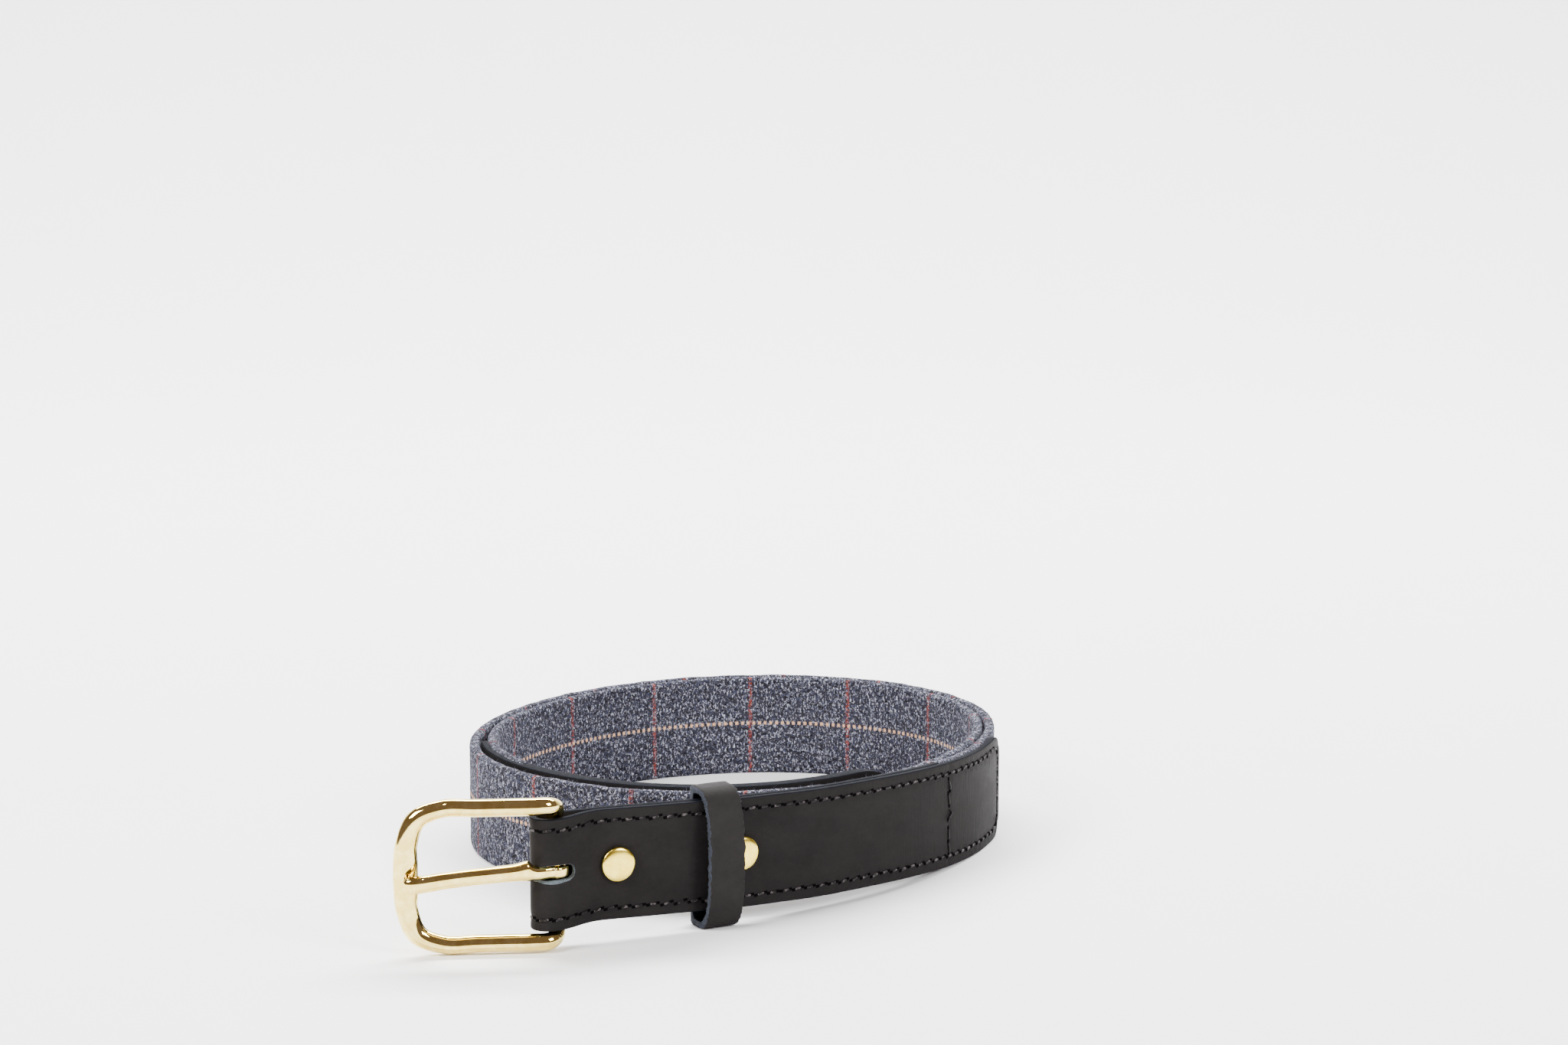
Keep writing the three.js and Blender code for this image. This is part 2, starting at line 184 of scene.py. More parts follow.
def face_outwards(thing):
    """Turns a closed mesh right side out."""
    mesh = thing.data
    points = np.empty(len(mesh.vertices) * 3)
    mesh.vertices.foreach_get("co", points)
    points = points.reshape(-1, 3)
    mesh.calc_loop_triangles()
    corners = np.empty(len(mesh.loop_triangles) * 3, dtype=np.int32)
    mesh.loop_triangles.foreach_get("vertices", corners)
    a, b, c = (points[corners.reshape(-1, 3)[:, i]] for i in range(3))
    volume = np.einsum("ij,ij->i", a, np.cross(b, c)).sum()
    if volume < 0:
        mesh.flip_normals()
    return thing


def rounded_section(inner, outer, low, high, radius, levels, corner_steps):
    """Outline of a ply's section: offset and height pairs, with round corners and even levels."""
    outline = []

    def corner(offset, height, start):
        for i in range(corner_steps + 1):
            angle = math.radians(start + 90 * i / corner_steps)
            outline.append((offset + radius * math.cos(angle), height + radius * math.sin(angle)))

    span = np.linspace(low + radius, high - radius, levels + 2)[1:-1]
    corner(outer - radius, low + radius, -90)
    outline.extend((outer, up) for up in span)
    corner(outer - radius, high - radius, 0)
    corner(inner + radius, high - radius, 90)
    outline.extend((inner, up) for up in span[::-1])
    corner(inner + radius, low + radius, 180)
    return np.array(outline)


def evaluated_copy(thing):
    """Applies the object's modifiers to its mesh."""
    bpy.context.view_layer.update()
    graph = bpy.context.evaluated_depsgraph_get()
    mesh = bpy.data.meshes.new_from_object(thing.evaluated_get(graph))
    thing.modifiers.clear()
    thing.data = mesh


def cut_with(thing, cutters):
    """Cuts other closed meshes out of a piece and throws them away."""
    for cutter in cutters:
        modifier = thing.modifiers.new("cut", "BOOLEAN")
        modifier.operation = "DIFFERENCE"
        modifier.solver = "EXACT"
        modifier.material_mode = "TRANSFER"
        modifier.object = cutter
        evaluated_copy(thing)
        bpy.data.objects.remove(cutter)


def coordinates_from_places(thing, first, last):
    """Works the belt coordinates out again from where the vertices are, between two distances."""
    count = len(thing.data.vertices)
    points = np.empty(count * 3)
    thing.data.vertices.foreach_get("co", points)
    points = points.reshape(-1, 3) / MM
    near = (CURVE[0] >= first) & (CURVE[0] <= last)
    along, x, y, heading = (row[near] for row in CURVE)
    gaps = (points[:, :1] - x) ** 2 + (points[:, 1:2] - y) ** 2
    best = gaps.argmin(axis=1)
    aside_x, aside_y = points[:, 0] - x[best], points[:, 1] - y[best]
    outward = aside_x * np.sin(heading[best]) - aside_y * np.cos(heading[best])
    up = points[:, 2] - lift_at(along[best])
    store_coordinates(thing.data, np.stack([along[best], up, outward], axis=1))


# Shader helpers

def add_node(tree, kind, inputs=None, **settings):
    """A node with its settings; an input given as a socket is linked, any other is set."""
    node = tree.nodes.new(kind)
    for key, value in settings.items():
        setattr(node, key, value)
    for key, value in (inputs or {}).items():
        if isinstance(value, bpy.types.NodeSocket):
            tree.links.new(value, node.inputs[key])
        else:
            node.inputs[key].default_value = value
    return node


def math_node(tree, operation, a, b=0.0):
    return add_node(tree, "ShaderNodeMath", {0: a, 1: b}, operation=operation).outputs[0]


def weighted_sum(tree, *terms):
    """Sum of pairs of a value and its share."""
    total = None
    for value, share in terms:
        part = math_node(tree, "MULTIPLY", value, share)
        total = part if total is None else math_node(tree, "ADD", total, part)
    return total


def noise_node(tree, vector, scale, detail=2.0, roughness=0.5):
    node = add_node(
        tree, "ShaderNodeTexNoise",
        {"Vector": vector, "Scale": scale, "Detail": detail, "Roughness": roughness})
    return node.outputs["Fac"]


def stretched(tree, vector, factors):
    node = add_node(tree, "ShaderNodeVectorMath", {0: vector, 1: factors}, operation="MULTIPLY")
    return node.outputs[0]


def range_node(tree, value, low, high, to_low=0.0, to_high=1.0):
    node = add_node(
        tree, "ShaderNodeMapRange",
        {"Value": value, "From Min": low, "From Max": high, "To Min": to_low, "To Max": to_high},
        interpolation_type="SMOOTHSTEP")
    return node.outputs[0]


def mix_colour(tree, factor, a, b):
    return add_node(tree, "ShaderNodeMix", {0: factor, 6: a, 7: b}, data_type="RGBA").outputs[2]


def new_group(name, inputs, outputs):
    """An empty shader group with its sockets; gives the tree, its inputs node and outputs node."""
    group = bpy.data.node_groups.new(name, "ShaderNodeTree")
    for label, kind, value in inputs:
        socket = group.interface.new_socket(label, in_out="INPUT", socket_type=kind)
        if value is not None:
            socket.default_value = value
    for label, kind in outputs:
        group.interface.new_socket(label, in_out="OUTPUT", socket_type=kind)
    return group, group.nodes.new("NodeGroupInput"), group.nodes.new("NodeGroupOutput")


def use_group(tree, group, inputs):
    return add_node(tree, "ShaderNodeGroup", inputs, node_tree=group).outputs


def linear(red, green, blue):
    """A colour given as seen on a screen, 0 to 255."""
    def one(value):
        value /= 255
        return value / 12.92 if value <= 0.04045 else ((value + 0.055) / 1.055) ** 2.4
    return one(red), one(green), one(blue), 1.0


def new_material(name):
    material = bpy.data.materials.new(name)
    material.use_nodes = True
    tree = material.node_tree
    return material, tree, tree.nodes["Principled BSDF"]


def belt_coordinates(tree):
    return add_node(tree, "ShaderNodeAttribute", attribute_name="belt").outputs["Vector"]


def object_millimetres(tree):
    place = add_node(tree, "ShaderNodeTexCoord").outputs["Object"]
    return stretched(tree, place, (1000, 1000, 1000))


def bump(tree, height, distance, strength=1.0):
    """Normal from a height in millimetres."""
    node = add_node(
        tree, "ShaderNodeBump", {"Height": height, "Distance": distance * MM, "Strength": strength})
    return node.outputs["Normal"]


# Shader groups

def grain_group():
    """Fine leather grain: cells, pores and long soft creases. Height is 0 to about 1."""
    group, start, end = new_group(
        "leather grain",
        [("Vector", "NodeSocketVector", None), ("Cell Scale", "NodeSocketFloat", 2.2),
         ("Crease", "NodeSocketFloat", 0.5)],
        [("Height", "NodeSocketFloat"), ("Tone", "NodeSocketFloat")])
    vector = start.outputs["Vector"]
    cells = add_node(
        group, "ShaderNodeTexVoronoi", {"Vector": vector, "Scale": start.outputs["Cell Scale"]},
        feature="SMOOTH_F1")
    cell_height = math_node(group, "SUBTRACT", 1.0, cells.outputs["Distance"])
    pores = noise_node(group, vector, 7.0, 3.0, 0.6)
    crease = noise_node(group, stretched(group, vector, (0.9, 0.12, 0.9)), 1.0, 4.0, 0.65)
    height = weighted_sum(group, (cell_height, 0.4), (pores, 0.35), (crease, start.outputs["Crease"]))
    group.links.new(height, end.inputs["Height"])
    tone = noise_node(group, stretched(group, vector, (0.06, 0.1, 0.1)), 1.0, 5.0, 0.6)
    group.links.new(tone, end.inputs["Tone"])
    return group


def heather_group():
    """Heathered wool: streaks of light and dark fibre over a twill. Gives masks and a height."""
    group, start, end = new_group(
        "wool heather", [("Vector", "NodeSocketVector", None)],
        [("Light", "NodeSocketFloat"), ("Dark", "NodeSocketFloat"),
         ("Tint", "NodeSocketFloat"), ("Height", "NodeSocketFloat")])
    vector = start.outputs["Vector"]
    warp = add_node(group, "ShaderNodeVectorMath", operation="ADD")
    wander = add_node(group, "ShaderNodeTexNoise", {"Vector": vector, "Scale": 0.9, "Detail": 2.0})
    group.links.new(stretched(group, wander.outputs["Color"], (1.1, 1.1, 1.1)), warp.inputs[0])
    group.links.new(vector, warp.inputs[1])
    moved = warp.outputs[0]
    upright = noise_node(group, stretched(group, moved, (1.7, 0.75, 1.1)), 1.0, 2.5, 0.62)
    slanted = add_node(
        group, "ShaderNodeMapping",
        {"Vector": moved, "Rotation": (0, 0, math.radians(38)), "Scale": (0.7, 1.6, 1.1)})
    slanting = noise_node(group, slanted.outputs[0], 1.0, 2.5, 0.62)
    speck = noise_node(group, stretched(group, moved, (2.3, 2.1, 2.1)), 1.0, 2.0, 0.7)
    light = weighted_sum(group, (upright, 0.55), (speck, 0.45))
    dark = weighted_sum(group, (slanting, 0.55), (speck, 0.45))
    group.links.new(range_node(group, light, 0.50, 0.70), end.inputs["Light"])
    group.links.new(range_node(group, dark, 0.54, 0.37), end.inputs["Dark"])
    tint = noise_node(group, stretched(group, moved, (1.1, 0.8, 0.8)), 1.0, 2.0, 0.5)
    group.links.new(range_node(group, tint, 0.42, 0.66), end.inputs["Tint"])
    turned = add_node(
        group, "ShaderNodeMapping", {"Vector": vector, "Rotation": (0, 0, math.radians(40))})
    twill = add_node(
        group, "ShaderNodeTexWave",
        {"Vector": turned.outputs[0], "Scale": 0.34, "Distortion": 2.5, "Detail": 1.5})
    height = weighted_sum(group, (upright, 0.9), (speck, 0.8), (twill.outputs["Fac"], 0.35))
    group.links.new(height, end.inputs["Height"])
    return group


def scuff_group():
    """Fine scratches and smudges on polished metal."""
    group, start, end = new_group(
        "metal scuffs", [("Vector", "NodeSocketVector", None)],
        [("Scratch", "NodeSocketFloat"), ("Smudge", "NodeSocketFloat"), ("Wave", "NodeSocketFloat")])
    vector = start.outputs["Vector"]
    fine = add_node(
        group, "ShaderNodeMapping",
        {"Vector": vector, "Rotation": (0.3, 0.5, 0.9), "Scale": (0.6, 9.0, 9.0)})
    scratch = noise_node(group, fine.outputs[0], 1.4, 3.0, 0.7)
    group.links.new(range_node(group, scratch, 0.58, 0.78), end.inputs["Scratch"])
    smudge = noise_node(group, vector, 0.35, 4.0, 0.6)
    group.links.new(range_node(group, smudge, 0.35, 0.7), end.inputs["Smudge"])
    group.links.new(noise_node(group, vector, 0.16, 1.0, 0.4), end.inputs["Wave"])
    return group


GRAIN, HEATHER, SCUFF = grain_group(), heather_group(), scuff_group()


# Materials

def leather_material(name, low, high):
    material, tree, shader = new_material(name)
    place = belt_coordinates(tree)
    grain = use_group(tree, GRAIN, {"Vector": place, "Cell Scale": 2.4, "Crease": 0.9})
    colour = mix_colour(tree, grain["Tone"], low, high)
    tree.links.new(colour, shader.inputs["Base Color"])
    tree.links.new(range_node(tree, grain["Tone"], 0.3, 0.7, 0.4, 0.5), shader.inputs["Roughness"])
    tree.links.new(bump(tree, grain["Height"], 0.12, 0.9), shader.inputs["Normal"])
    shader.inputs["Specular IOR Level"].default_value = 0.012
    return material


def mottled_material(name, grain, colours, spread=None, relief=None, roughness=0.9, specular=0.5):
    """A material that follows one fine noise: grain is its scale, detail and roughness."""
    material, tree, shader = new_material(name)
    fibre = noise_node(tree, object_millimetres(tree), *grain)
    factor = range_node(tree, fibre, *spread) if spread else fibre
    tree.links.new(mix_colour(tree, factor, *colours), shader.inputs["Base Color"])
    if relief:
        tree.links.new(bump(tree, fibre, *relief), shader.inputs["Normal"])
    shader.inputs["Roughness"].default_value = roughness
    shader.inputs["Specular IOR Level"].default_value = specular
    return material


WINDOWPANE_FIRST, WINDOWPANE_PITCH, CREAM_LEVEL = 513.0, 34.0, 17.0
RUST_EDGE, RUST_SHARE, CREAM_EDGE = (0.9, 0.3), 0.55, (0.75, 0.25)


def tweed_material():
    """Heathered charcoal with thin rust lines across the strap and a dotted cream line along it."""
    material, tree, shader = new_material("charcoal tweed")
    place = belt_coordinates(tree)
    wool = use_group(tree, HEATHER, {"Vector": place})
    base = mix_colour(tree, wool["Tint"], linear(41, 40, 46), linear(53, 55, 72))
    darker = mix_colour(tree, wool["Dark"], base, linear(9, 8, 12))
    lighter = mix_colour(tree, wool["Light"], darker, linear(182, 184, 200))
    split = add_node(tree, "ShaderNodeSeparateXYZ", {0: place})
    along, up = split.outputs["X"], split.outputs["Y"]

    since_first = math_node(tree, "SUBTRACT", along, WINDOWPANE_FIRST)
    turn = math_node(tree, "DIVIDE", since_first, WINDOWPANE_PITCH)
    part = math_node(tree, "SUBTRACT", turn, math_node(tree, "ROUND", turn))
    offset = math_node(tree, "MULTIPLY", math_node(tree, "ABSOLUTE", part), WINDOWPANE_PITCH)
    upright = range_node(tree, offset, *RUST_EDGE)
    worn = noise_node(tree, stretched(tree, place, (1.2, 1.5, 1.0)), 1.0, 2.0, 0.6)
    dots = math_node(tree, "MULTIPLY", upright, range_node(tree, worn, 0.42, 0.58))
    rust = mix_colour(tree, math_node(tree, "MULTIPLY", dots, RUST_SHARE), lighter, linear(140, 58, 42))

    from_level = math_node(tree, "ABSOLUTE", math_node(tree, "SUBTRACT", up, CREAM_LEVEL))
    level = range_node(tree, from_level, *CREAM_EDGE)
    beads = add_node(
        tree, "ShaderNodeTexWave", {"Vector": place, "Scale": 0.16, "Distortion": 1.5},
        bands_direction="X")
    bead = range_node(tree, beads.outputs["Fac"], 0.3, 0.7)
    cream = mix_colour(
        tree, math_node(tree, "MULTIPLY", level, bead), rust, linear(190, 150, 120))
    tree.links.new(cream, shader.inputs["Base Color"])
    tree.links.new(bump(tree, wool["Height"], 0.35, 0.9), shader.inputs["Normal"])
    shader.inputs["Roughness"].default_value = 0.95
    shader.inputs["Specular IOR Level"].default_value = 0.08
    return material


def thread_material(name, dark, light, specular=0.5):
    material, tree, shader = new_material(name)
    place = object_millimetres(tree)
    twist = add_node(
        tree, "ShaderNodeTexWave", {"Vector": place, "Scale": 1.1, "Distortion": 3.0},
        bands_direction="DIAGONAL")
    tone = noise_node(tree, place, 0.9, 3.0, 0.6)
    # The lighter colour, spread by noise along the thread, is painted glint on black thread.
    colour = mix_colour(tree, range_node(tree, tone, 0.48, 0.64), dark, light)
    tree.links.new(colour, shader.inputs["Base Color"])
    tree.links.new(bump(tree, twist.outputs["Fac"], 0.12, 0.8), shader.inputs["Normal"])
    shader.inputs["Roughness"].default_value = 0.5
    shader.inputs["Specular IOR Level"].default_value = specular
    return material


def brass_material(name, low, high, rough):
    material, tree, shader = new_material(name)
    scuffs = use_group(tree, SCUFF, {"Vector": object_millimetres(tree)})
    tree.links.new(mix_colour(tree, scuffs["Smudge"], low, high), shader.inputs["Base Color"])
    uneven = range_node(tree, scuffs["Smudge"], 0.0, 1.0, rough, rough + 0.02)
    worn = math_node(tree, "ADD", uneven, math_node(tree, "MULTIPLY", scuffs["Scratch"], 0.04))
    tree.links.new(worn, shader.inputs["Roughness"])
    height = math_node(tree, "ADD", math_node(tree, "MULTIPLY", scuffs["Scratch"], 0.02), math_node(
        tree, "MULTIPLY", scuffs["Wave"], 0.4))
    tree.links.new(bump(tree, height, 0.1, 0.5), shader.inputs["Normal"])
    shader.inputs["Metallic"].default_value = 1.0
    return material


LEATHER_FACE = leather_material("black belt leather", linear(21, 20, 20), linear(37, 35, 35))
# A lighter copy of the belt leather, used for the keeper.
KEEPER_LEATHER = leather_material("lighter keeper leather", linear(25, 24, 24), linear(43, 41, 41))
LEATHER_EDGE = mottled_material(
    "inked leather edge", (2.4, 4.0, 0.7), (linear(7, 8, 11), linear(22, 24, 30)),
    relief=(0.08, 0.7), roughness=0.6, specular=0.01)
RAW_GRAIN, RAW_SPREAD, RAW_RELIEF = (3.2, 5.0, 0.75), (0.35, 0.65), (0.2, 1.0)
RAW_EDGE = mottled_material(
    "raw leather edge", RAW_GRAIN, (linear(10, 12, 17), linear(40, 48, 62)), RAW_SPREAD, RAW_RELIEF)
FRAYED_RIM = mottled_material(
    "frayed slot rim", RAW_GRAIN, (linear(20, 24, 28), linear(112, 127, 136)), RAW_SPREAD, RAW_RELIEF)
TWEED = tweed_material()
WOOL_FIBRE = mottled_material(
    "loose wool fibre", (0.8, 2.0, 0.6), (linear(12, 11, 16), linear(110, 112, 128)), (0.38, 0.62))
# Black thread whose lighter colour is painted glint.
THREAD = thread_material("black thread with painted glints", linear(6, 5, 5), linear(82, 76, 77), 0.2)
DULL_THREAD = thread_material("dull black thread", linear(3, 3, 3), linear(16, 14, 14), 0.12)
# Near-black, nearly unreflecting tubes at the stitch ends: painted shade for the needle-pierced holes.
HOLE_SHADE = mottled_material(
    "painted needle-hole shade", (4.0, 3.0, 0.6), (linear(3, 3, 3), linear(9, 8, 9)), specular=0.01)
BRASS = brass_material("polished brass", linear(236, 208, 112), linear(253, 231, 146), 0.03)
CAP_BRASS = brass_material("rivet brass", linear(236, 207, 80), linear(252, 228, 106), 0.2)


def claim(piece, body, slot, *nodes):
    """Rides a piece on its body and hides the nodes that it stands for; slot is not used."""
    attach(piece, body)
    if nodes:
        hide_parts(*nodes)
    return piece


# Leather plies

def seam_distance(along, up, end):
    """Distance from the seam that runs along both edges and round the end of a ply."""
    rows = np.minimum(np.abs(up - SEAM_INSET), np.abs(up - (STRAP_WIDTH - SEAM_INSET)))
    across = np.where(np.abs(up - STRAP_WIDTH / 2) < STRAP_WIDTH / 2 - SEAM_INSET,
                      np.abs(along - (end - SEAM_INSET)), 99.0)
    return np.minimum(rows, across)


SEAM_DIP, CROSS_DIP, SEAM_BREADTH = 0.22, 0.2, 0.8
PUCKER_DIP, PUCKER_BREADTH = 0.1, 1.6
RIVET_DIP, RIVET_RADIUS, RIVET_BREADTH = 0.28, 4.9, 1.7
SLOW_SWELL = 0.1


def groove(distance, breadth):
    """A dip's profile, 1 at its middle."""
    return np.exp(-(distance / breadth) ** 2)


def tab_relief(along, up):
    """How the leather dips at its seams and rivets and swells between them."""
    relief = -SEAM_DIP * groove(seam_distance(along, up, TAB_END), SEAM_BREADTH)
    relief += -CROSS_DIP * groove(along - CROSS_SEAM, SEAM_BREADTH)
    pucker = 0.5 + 0.5 * np.cos(2 * math.pi * along / STITCH_PITCH)
    relief += -PUCKER_DIP * pucker * groove(seam_distance(along, up, TAB_END), PUCKER_BREADTH)
    for rivet in RIVETS.values():
        radius = np.hypot(along - rivet, up - STRAP_WIDTH / 2)
        under = groove(radius - RIVET_RADIUS, RIVET_BREADTH)
        relief += -RIVET_DIP * under - RIVET_DIP * (radius < RIVET_RADIUS)
    relief += SLOW_SWELL * np.sin(along / 8.3 + 0.6) * np.sin(up / 9.0)
    return relief


def ply_middle(along, side):
    """Offset of a ply's middle: closed on its neighbour, or opened round the heel bar."""
    closed = side * (LEATHER + PLY_GAP) / 2
    opened = HEEL_OFFSET + side * FOLD_RADIUS
    return opened + (closed - opened) * smooth(along, FOLD_START, FOLD_END)


def tab_place(along, up, proud, side=1.0):
    """A point of a tab ply, proud of its middle; before the fold starts it goes round the heel bar."""
    if along >= FOLD_START:
        return belt_points(along, float(ply_middle(along, side)) + side * proud, up)
    axis = belt_points(FOLD_START, HEEL_OFFSET, 0.0)
    turn = math.radians(HEEL[2]) - math.pi / 2 - (FOLD_START - along) / FOLD_RADIUS
    radius = FOLD_RADIUS + proud
    return np.array([axis[0] + radius * math.cos(turn), axis[1] + radius * math.sin(turn), axis[2] + up])


def round_corner(along, end, length, depth):
    """How far a round corner draws the edge in."""
    t = np.clip((along - (end - length)) / length, 0.0, 1.0)
    return depth * (1 - np.sqrt(np.clip(1 - t * t, 0.0, 1.0)))


def stations(first, last, step, corner=0.0):
    """Distances for the sections of a ply, closer together over a round corner at its end."""
    straight = last - corner
    count = math.ceil((straight - first) / step)
    run = list(np.linspace(first, straight, count + 1))
    if corner > 0:
        run += [straight + corner * math.sin(math.radians(a)) * 0.9995 for a in range(9, 91, 9)]
    return run


TAB_LEVELS, TAB_CORNER_STEPS, TAB_STEP, TAB_ROUND = 27, 4, 1.0, 0.38
INNER_RELIEF = 0.6                        # share of the relief on the ply behind


def tab_ring(along, side, inset, relief_share=1.0):
    """One section of a tab ply and its belt coordinates."""
    half = LEATHER / 2
    section = rounded_section(
        -half, half, inset, STRAP_WIDTH - inset, TAB_ROUND, TAB_LEVELS, TAB_CORNER_STEPS)
    across, up = section.T
    face = np.clip((across + half - 0.4) / (LEATHER - 0.4), 0.0, 1.0)
    proud = across + tab_relief(along, up) * face * relief_share
    ring = np.array([tab_place(along, u, p, side) for u, p in zip(up, proud)])
    return ring, np.stack([np.full_like(up, along), up, side * proud], axis=1)


def tab_rings():
    """All sections of the tab: inner ply, fold and outer ply."""
    behind = stations(FOLD_START, CLOTH_START - PLY_GAP, TAB_STEP)[::-1]
    inner = [(along, -1, 0.0, INNER_RELIEF) for along in behind]
    fold = [(FOLD_START - FOLD_RADIUS * math.radians(angle), 1, 0.0, 1.0) for angle in range(170, 0, -10)]
    outer = [
        (along, 1, float(round_corner(along, TAB_END, TAB_CORNER, TAB_CORNER)), 1.0)
        for along in stations(FOLD_START, TAB_END, TAB_STEP, TAB_CORNER)]
    rings, data = zip(*(tab_ring(*row) for row in inner + fold + outer))
    return list(rings), list(data)


def edge_slots(rings, size, levels, corner_steps):
    """Material slots of a lofted ply: the faces are slot 0, the cut edges slot 1."""
    outer = range(corner_steps - 1, corner_steps + levels + 2)
    inner_start = 2 * (corner_steps + 1) + levels + corner_steps - 1
    inner = range(inner_start, inner_start + levels + 3)
    faced = [0 if (j in outer or j in inner) else 1 for j in range(size)]
    return faced * (rings - 1) + [1, 1]


def slot_cutter():
    """Oblong that stands across the fold and widens towards the outer face, so that its rim shows."""
    left = FOLD_START - FOLD_RADIUS - LEATHER - 1
    middle = BUCKLE_MIDDLE - float(lift_at(0.0))
    heading = math.radians(HEEL[2])
    rings = []
    for depth, height, reach in SLOT_SECTIONS:
        half = height / 2
        outline = [(left, -half), (0, -half)]
        outline += [
            (reach - half + half * math.cos(math.radians(a)), half * math.sin(math.radians(a)))
            for a in range(-90, 91, 12)]
        outline += [(0, half), (left, half)]
        along, up = np.array(outline).T
        base = belt_points(0.0, HEEL_OFFSET + depth, middle)
        rings.append(base + np.stack([along * math.cos(heading), along * math.sin(heading), up], axis=1))
    faces = loft_faces(len(rings), len(rings[0]))
    return face_outwards(make_object("slot_cutter", np.concatenate(rings), faces, [FRAYED_RIM]))


def make_tab():
    rings, data = tab_rings()
    size = len(rings[0])
    slots = edge_slots(len(rings), size, TAB_LEVELS, TAB_CORNER_STEPS)
    tab = make_object(
        "folded_tab", np.concatenate(rings), loft_faces(len(rings), size),
        [LEATHER_FACE, LEATHER_EDGE], slots, np.concatenate(data))
    face_outwards(tab)
    cut_with(tab, [slot_cutter()])
    coordinates_from_places(tab, -19.0, TAB_END + 1)
    return claim(tab, "belt", "leather", "buckle_tab")


# Tweed strap

CLOTH_END = TIP_START + TIP_OVERLAP
CLOTH_OUTER, CLOTH_INNER = -PLY_GAP / 2, -PLY_GAP / 2 - CLOTH
CLOTH_STEP, CLOTH_ROUND, CLOTH_LEVELS, CLOTH_CORNER_STEPS = 1.5, 1.15, 22, 5
EDGE_WANDER, EDGE_BAND = 0.16, 2.5        # how the upper edge rises and falls, and how deep that reaches


def cloth_swell(along, up):
    """Slow unevenness of the wool cloth."""
    slow = np.sin(along / 5.7 + up / 7.0) * np.sin(along / 13.1 - up / 4.1 + 1.3)
    quick = np.sin(along * 1.31 + up * 0.83) * np.sin(along * 0.47 - up * 1.21 + 0.4)
    return 0.07 * slow + 0.05 * quick


def make_strap():
    """The woven strap, from under the tab to the leather end."""
    rings, data = [], []
    wander = np.convolve(noise.normal(0, 1, 900), np.hanning(7) / 3.5, "same")
    across, up = rounded_section(
        CLOTH_INNER, CLOTH_OUTER, 0.0, STRAP_WIDTH, CLOTH_ROUND, CLOTH_LEVELS, CLOTH_CORNER_STEPS).T
    edge = smooth(up, STRAP_WIDTH - EDGE_BAND, STRAP_WIDTH)
    for i, along in enumerate(np.arange(CLOTH_START, CLOTH_END, CLOTH_STEP)):
        side = np.where(across > (CLOTH_OUTER + CLOTH_INNER) / 2, 1.0, -1.0)
        outward = across + side * cloth_swell(along, up)
        height = up + EDGE_WANDER * wander[i] * edge
        rings.append(belt_points(along, outward, height))
        data.append(np.stack([np.full_like(up, along), up, outward], axis=1))
    strap = make_object(
        "tweed_cloth", np.concatenate(rings), loft_faces(len(rings), len(rings[0])), [TWEED],
        data=np.concatenate(data))
    return claim(face_outwards(strap), "belt", "tweed", "tweed_strap")


FIBRES_ON_EDGE, FIBRES_ON_FACES, OUTER_SHARE = 3600, 2200, 0.6
FIBRE_ROOT = 0.12                         # depth of a fibre's root in the cloth
FIBRE_START, FIBRE_END = CLOTH_START + 34, CLOTH_END - 1


def make_fibres():
    """Loose wool fibres that stand off the strap's upper edge and both of its faces."""
    count = FIBRES_ON_EDGE + FIBRES_ON_FACES
    along = noise.uniform(FIBRE_START, FIBRE_END, count)
    edge = np.arange(count) < FIBRES_ON_EDGE
    angle = noise.uniform(0.1, math.pi - 0.1, count)
    middle, half = (CLOTH_OUTER + CLOTH_INNER) / 2, CLOTH / 2
    face = np.where(noise.uniform(0, 1, count) < OUTER_SHARE, 1.0, -1.0)
    outward = np.where(edge, middle + half * np.cos(angle) * 0.98, middle + face * half)
    up = np.where(edge, STRAP_WIDTH - 1.2 + 1.2 * np.sin(angle), noise.uniform(1.5, STRAP_WIDTH - 1, count))
    lean_out = np.where(edge, np.cos(angle), face)
    lean_up = np.where(edge, np.sin(angle), noise.normal(0, 0.5, count))
    length = noise.gamma(3.0, 0.2, count) * np.where(edge, 1.0, 0.75)
    drift = noise.normal(0, 0.9, count)
    curl = noise.normal(0, 0.55, (count, 2))
    thick = noise.uniform(0.025, 0.05, count)
    points, faces = [], []
    for i in range(count):
        root = np.array([
            along[i], outward[i] - FIBRE_ROOT * lean_out[i], up[i] - FIBRE_ROOT * lean_up[i]])
        lean = np.array([drift[i], lean_out[i] * 0.8, lean_up[i] * 0.8])
        lean *= length[i] / np.linalg.norm(lean)
        bend = np.array([curl[i, 0], 0.0, curl[i, 1]]) * length[i] * 0.4
        spots = [root, root + lean * 0.5 + bend * 0.3, root + lean + bend]
        start = len(points)
        for spot, radius in zip(spots[:2], (thick[i], thick[i] * 0.8)):
            for turn in (0.3, 2.4, 4.5):
                points.append(spot + radius * np.array([
                    math.cos(turn), math.sin(turn), 0.35 * math.sin(turn + 1)]))
        points.append(spots[2])
        a, b, tip = start, start + 3, start + 6
        faces.append((a + 2, a + 1, a))
        for j in range(3):
            k = (j + 1) % 3
            faces.append((a + j, a + k, b + k, b + j))
            faces.append((b + j, b + k, tip))
    points = np.array(points)
    placed = belt_points(points[:, 0], points[:, 1], points[:, 2])
    fibres = make_object("wool_fibres", placed, faces, [WOOL_FIBRE])
    return claim(fibres, "belt", "tweed")


# Tip of the belt

TIP_HOLES, TIP_HOLE_FIRST, TIP_HOLE_SPACING, TIP_HOLE_RADIUS = 5, 62.0, 25.0, 2.2
TIP_POINT_LENGTH, TIP_POINT_DEPTH = 20.0, 14.5
TIP_LEVELS, TIP_CORNER_STEPS, TIP_STEP, TIP_ROUND = 25, 4, 1.2, 0.4
TIP_DIP, PUNCH_SIDES, PUNCH_REACH = 0.2, 32, 6.0


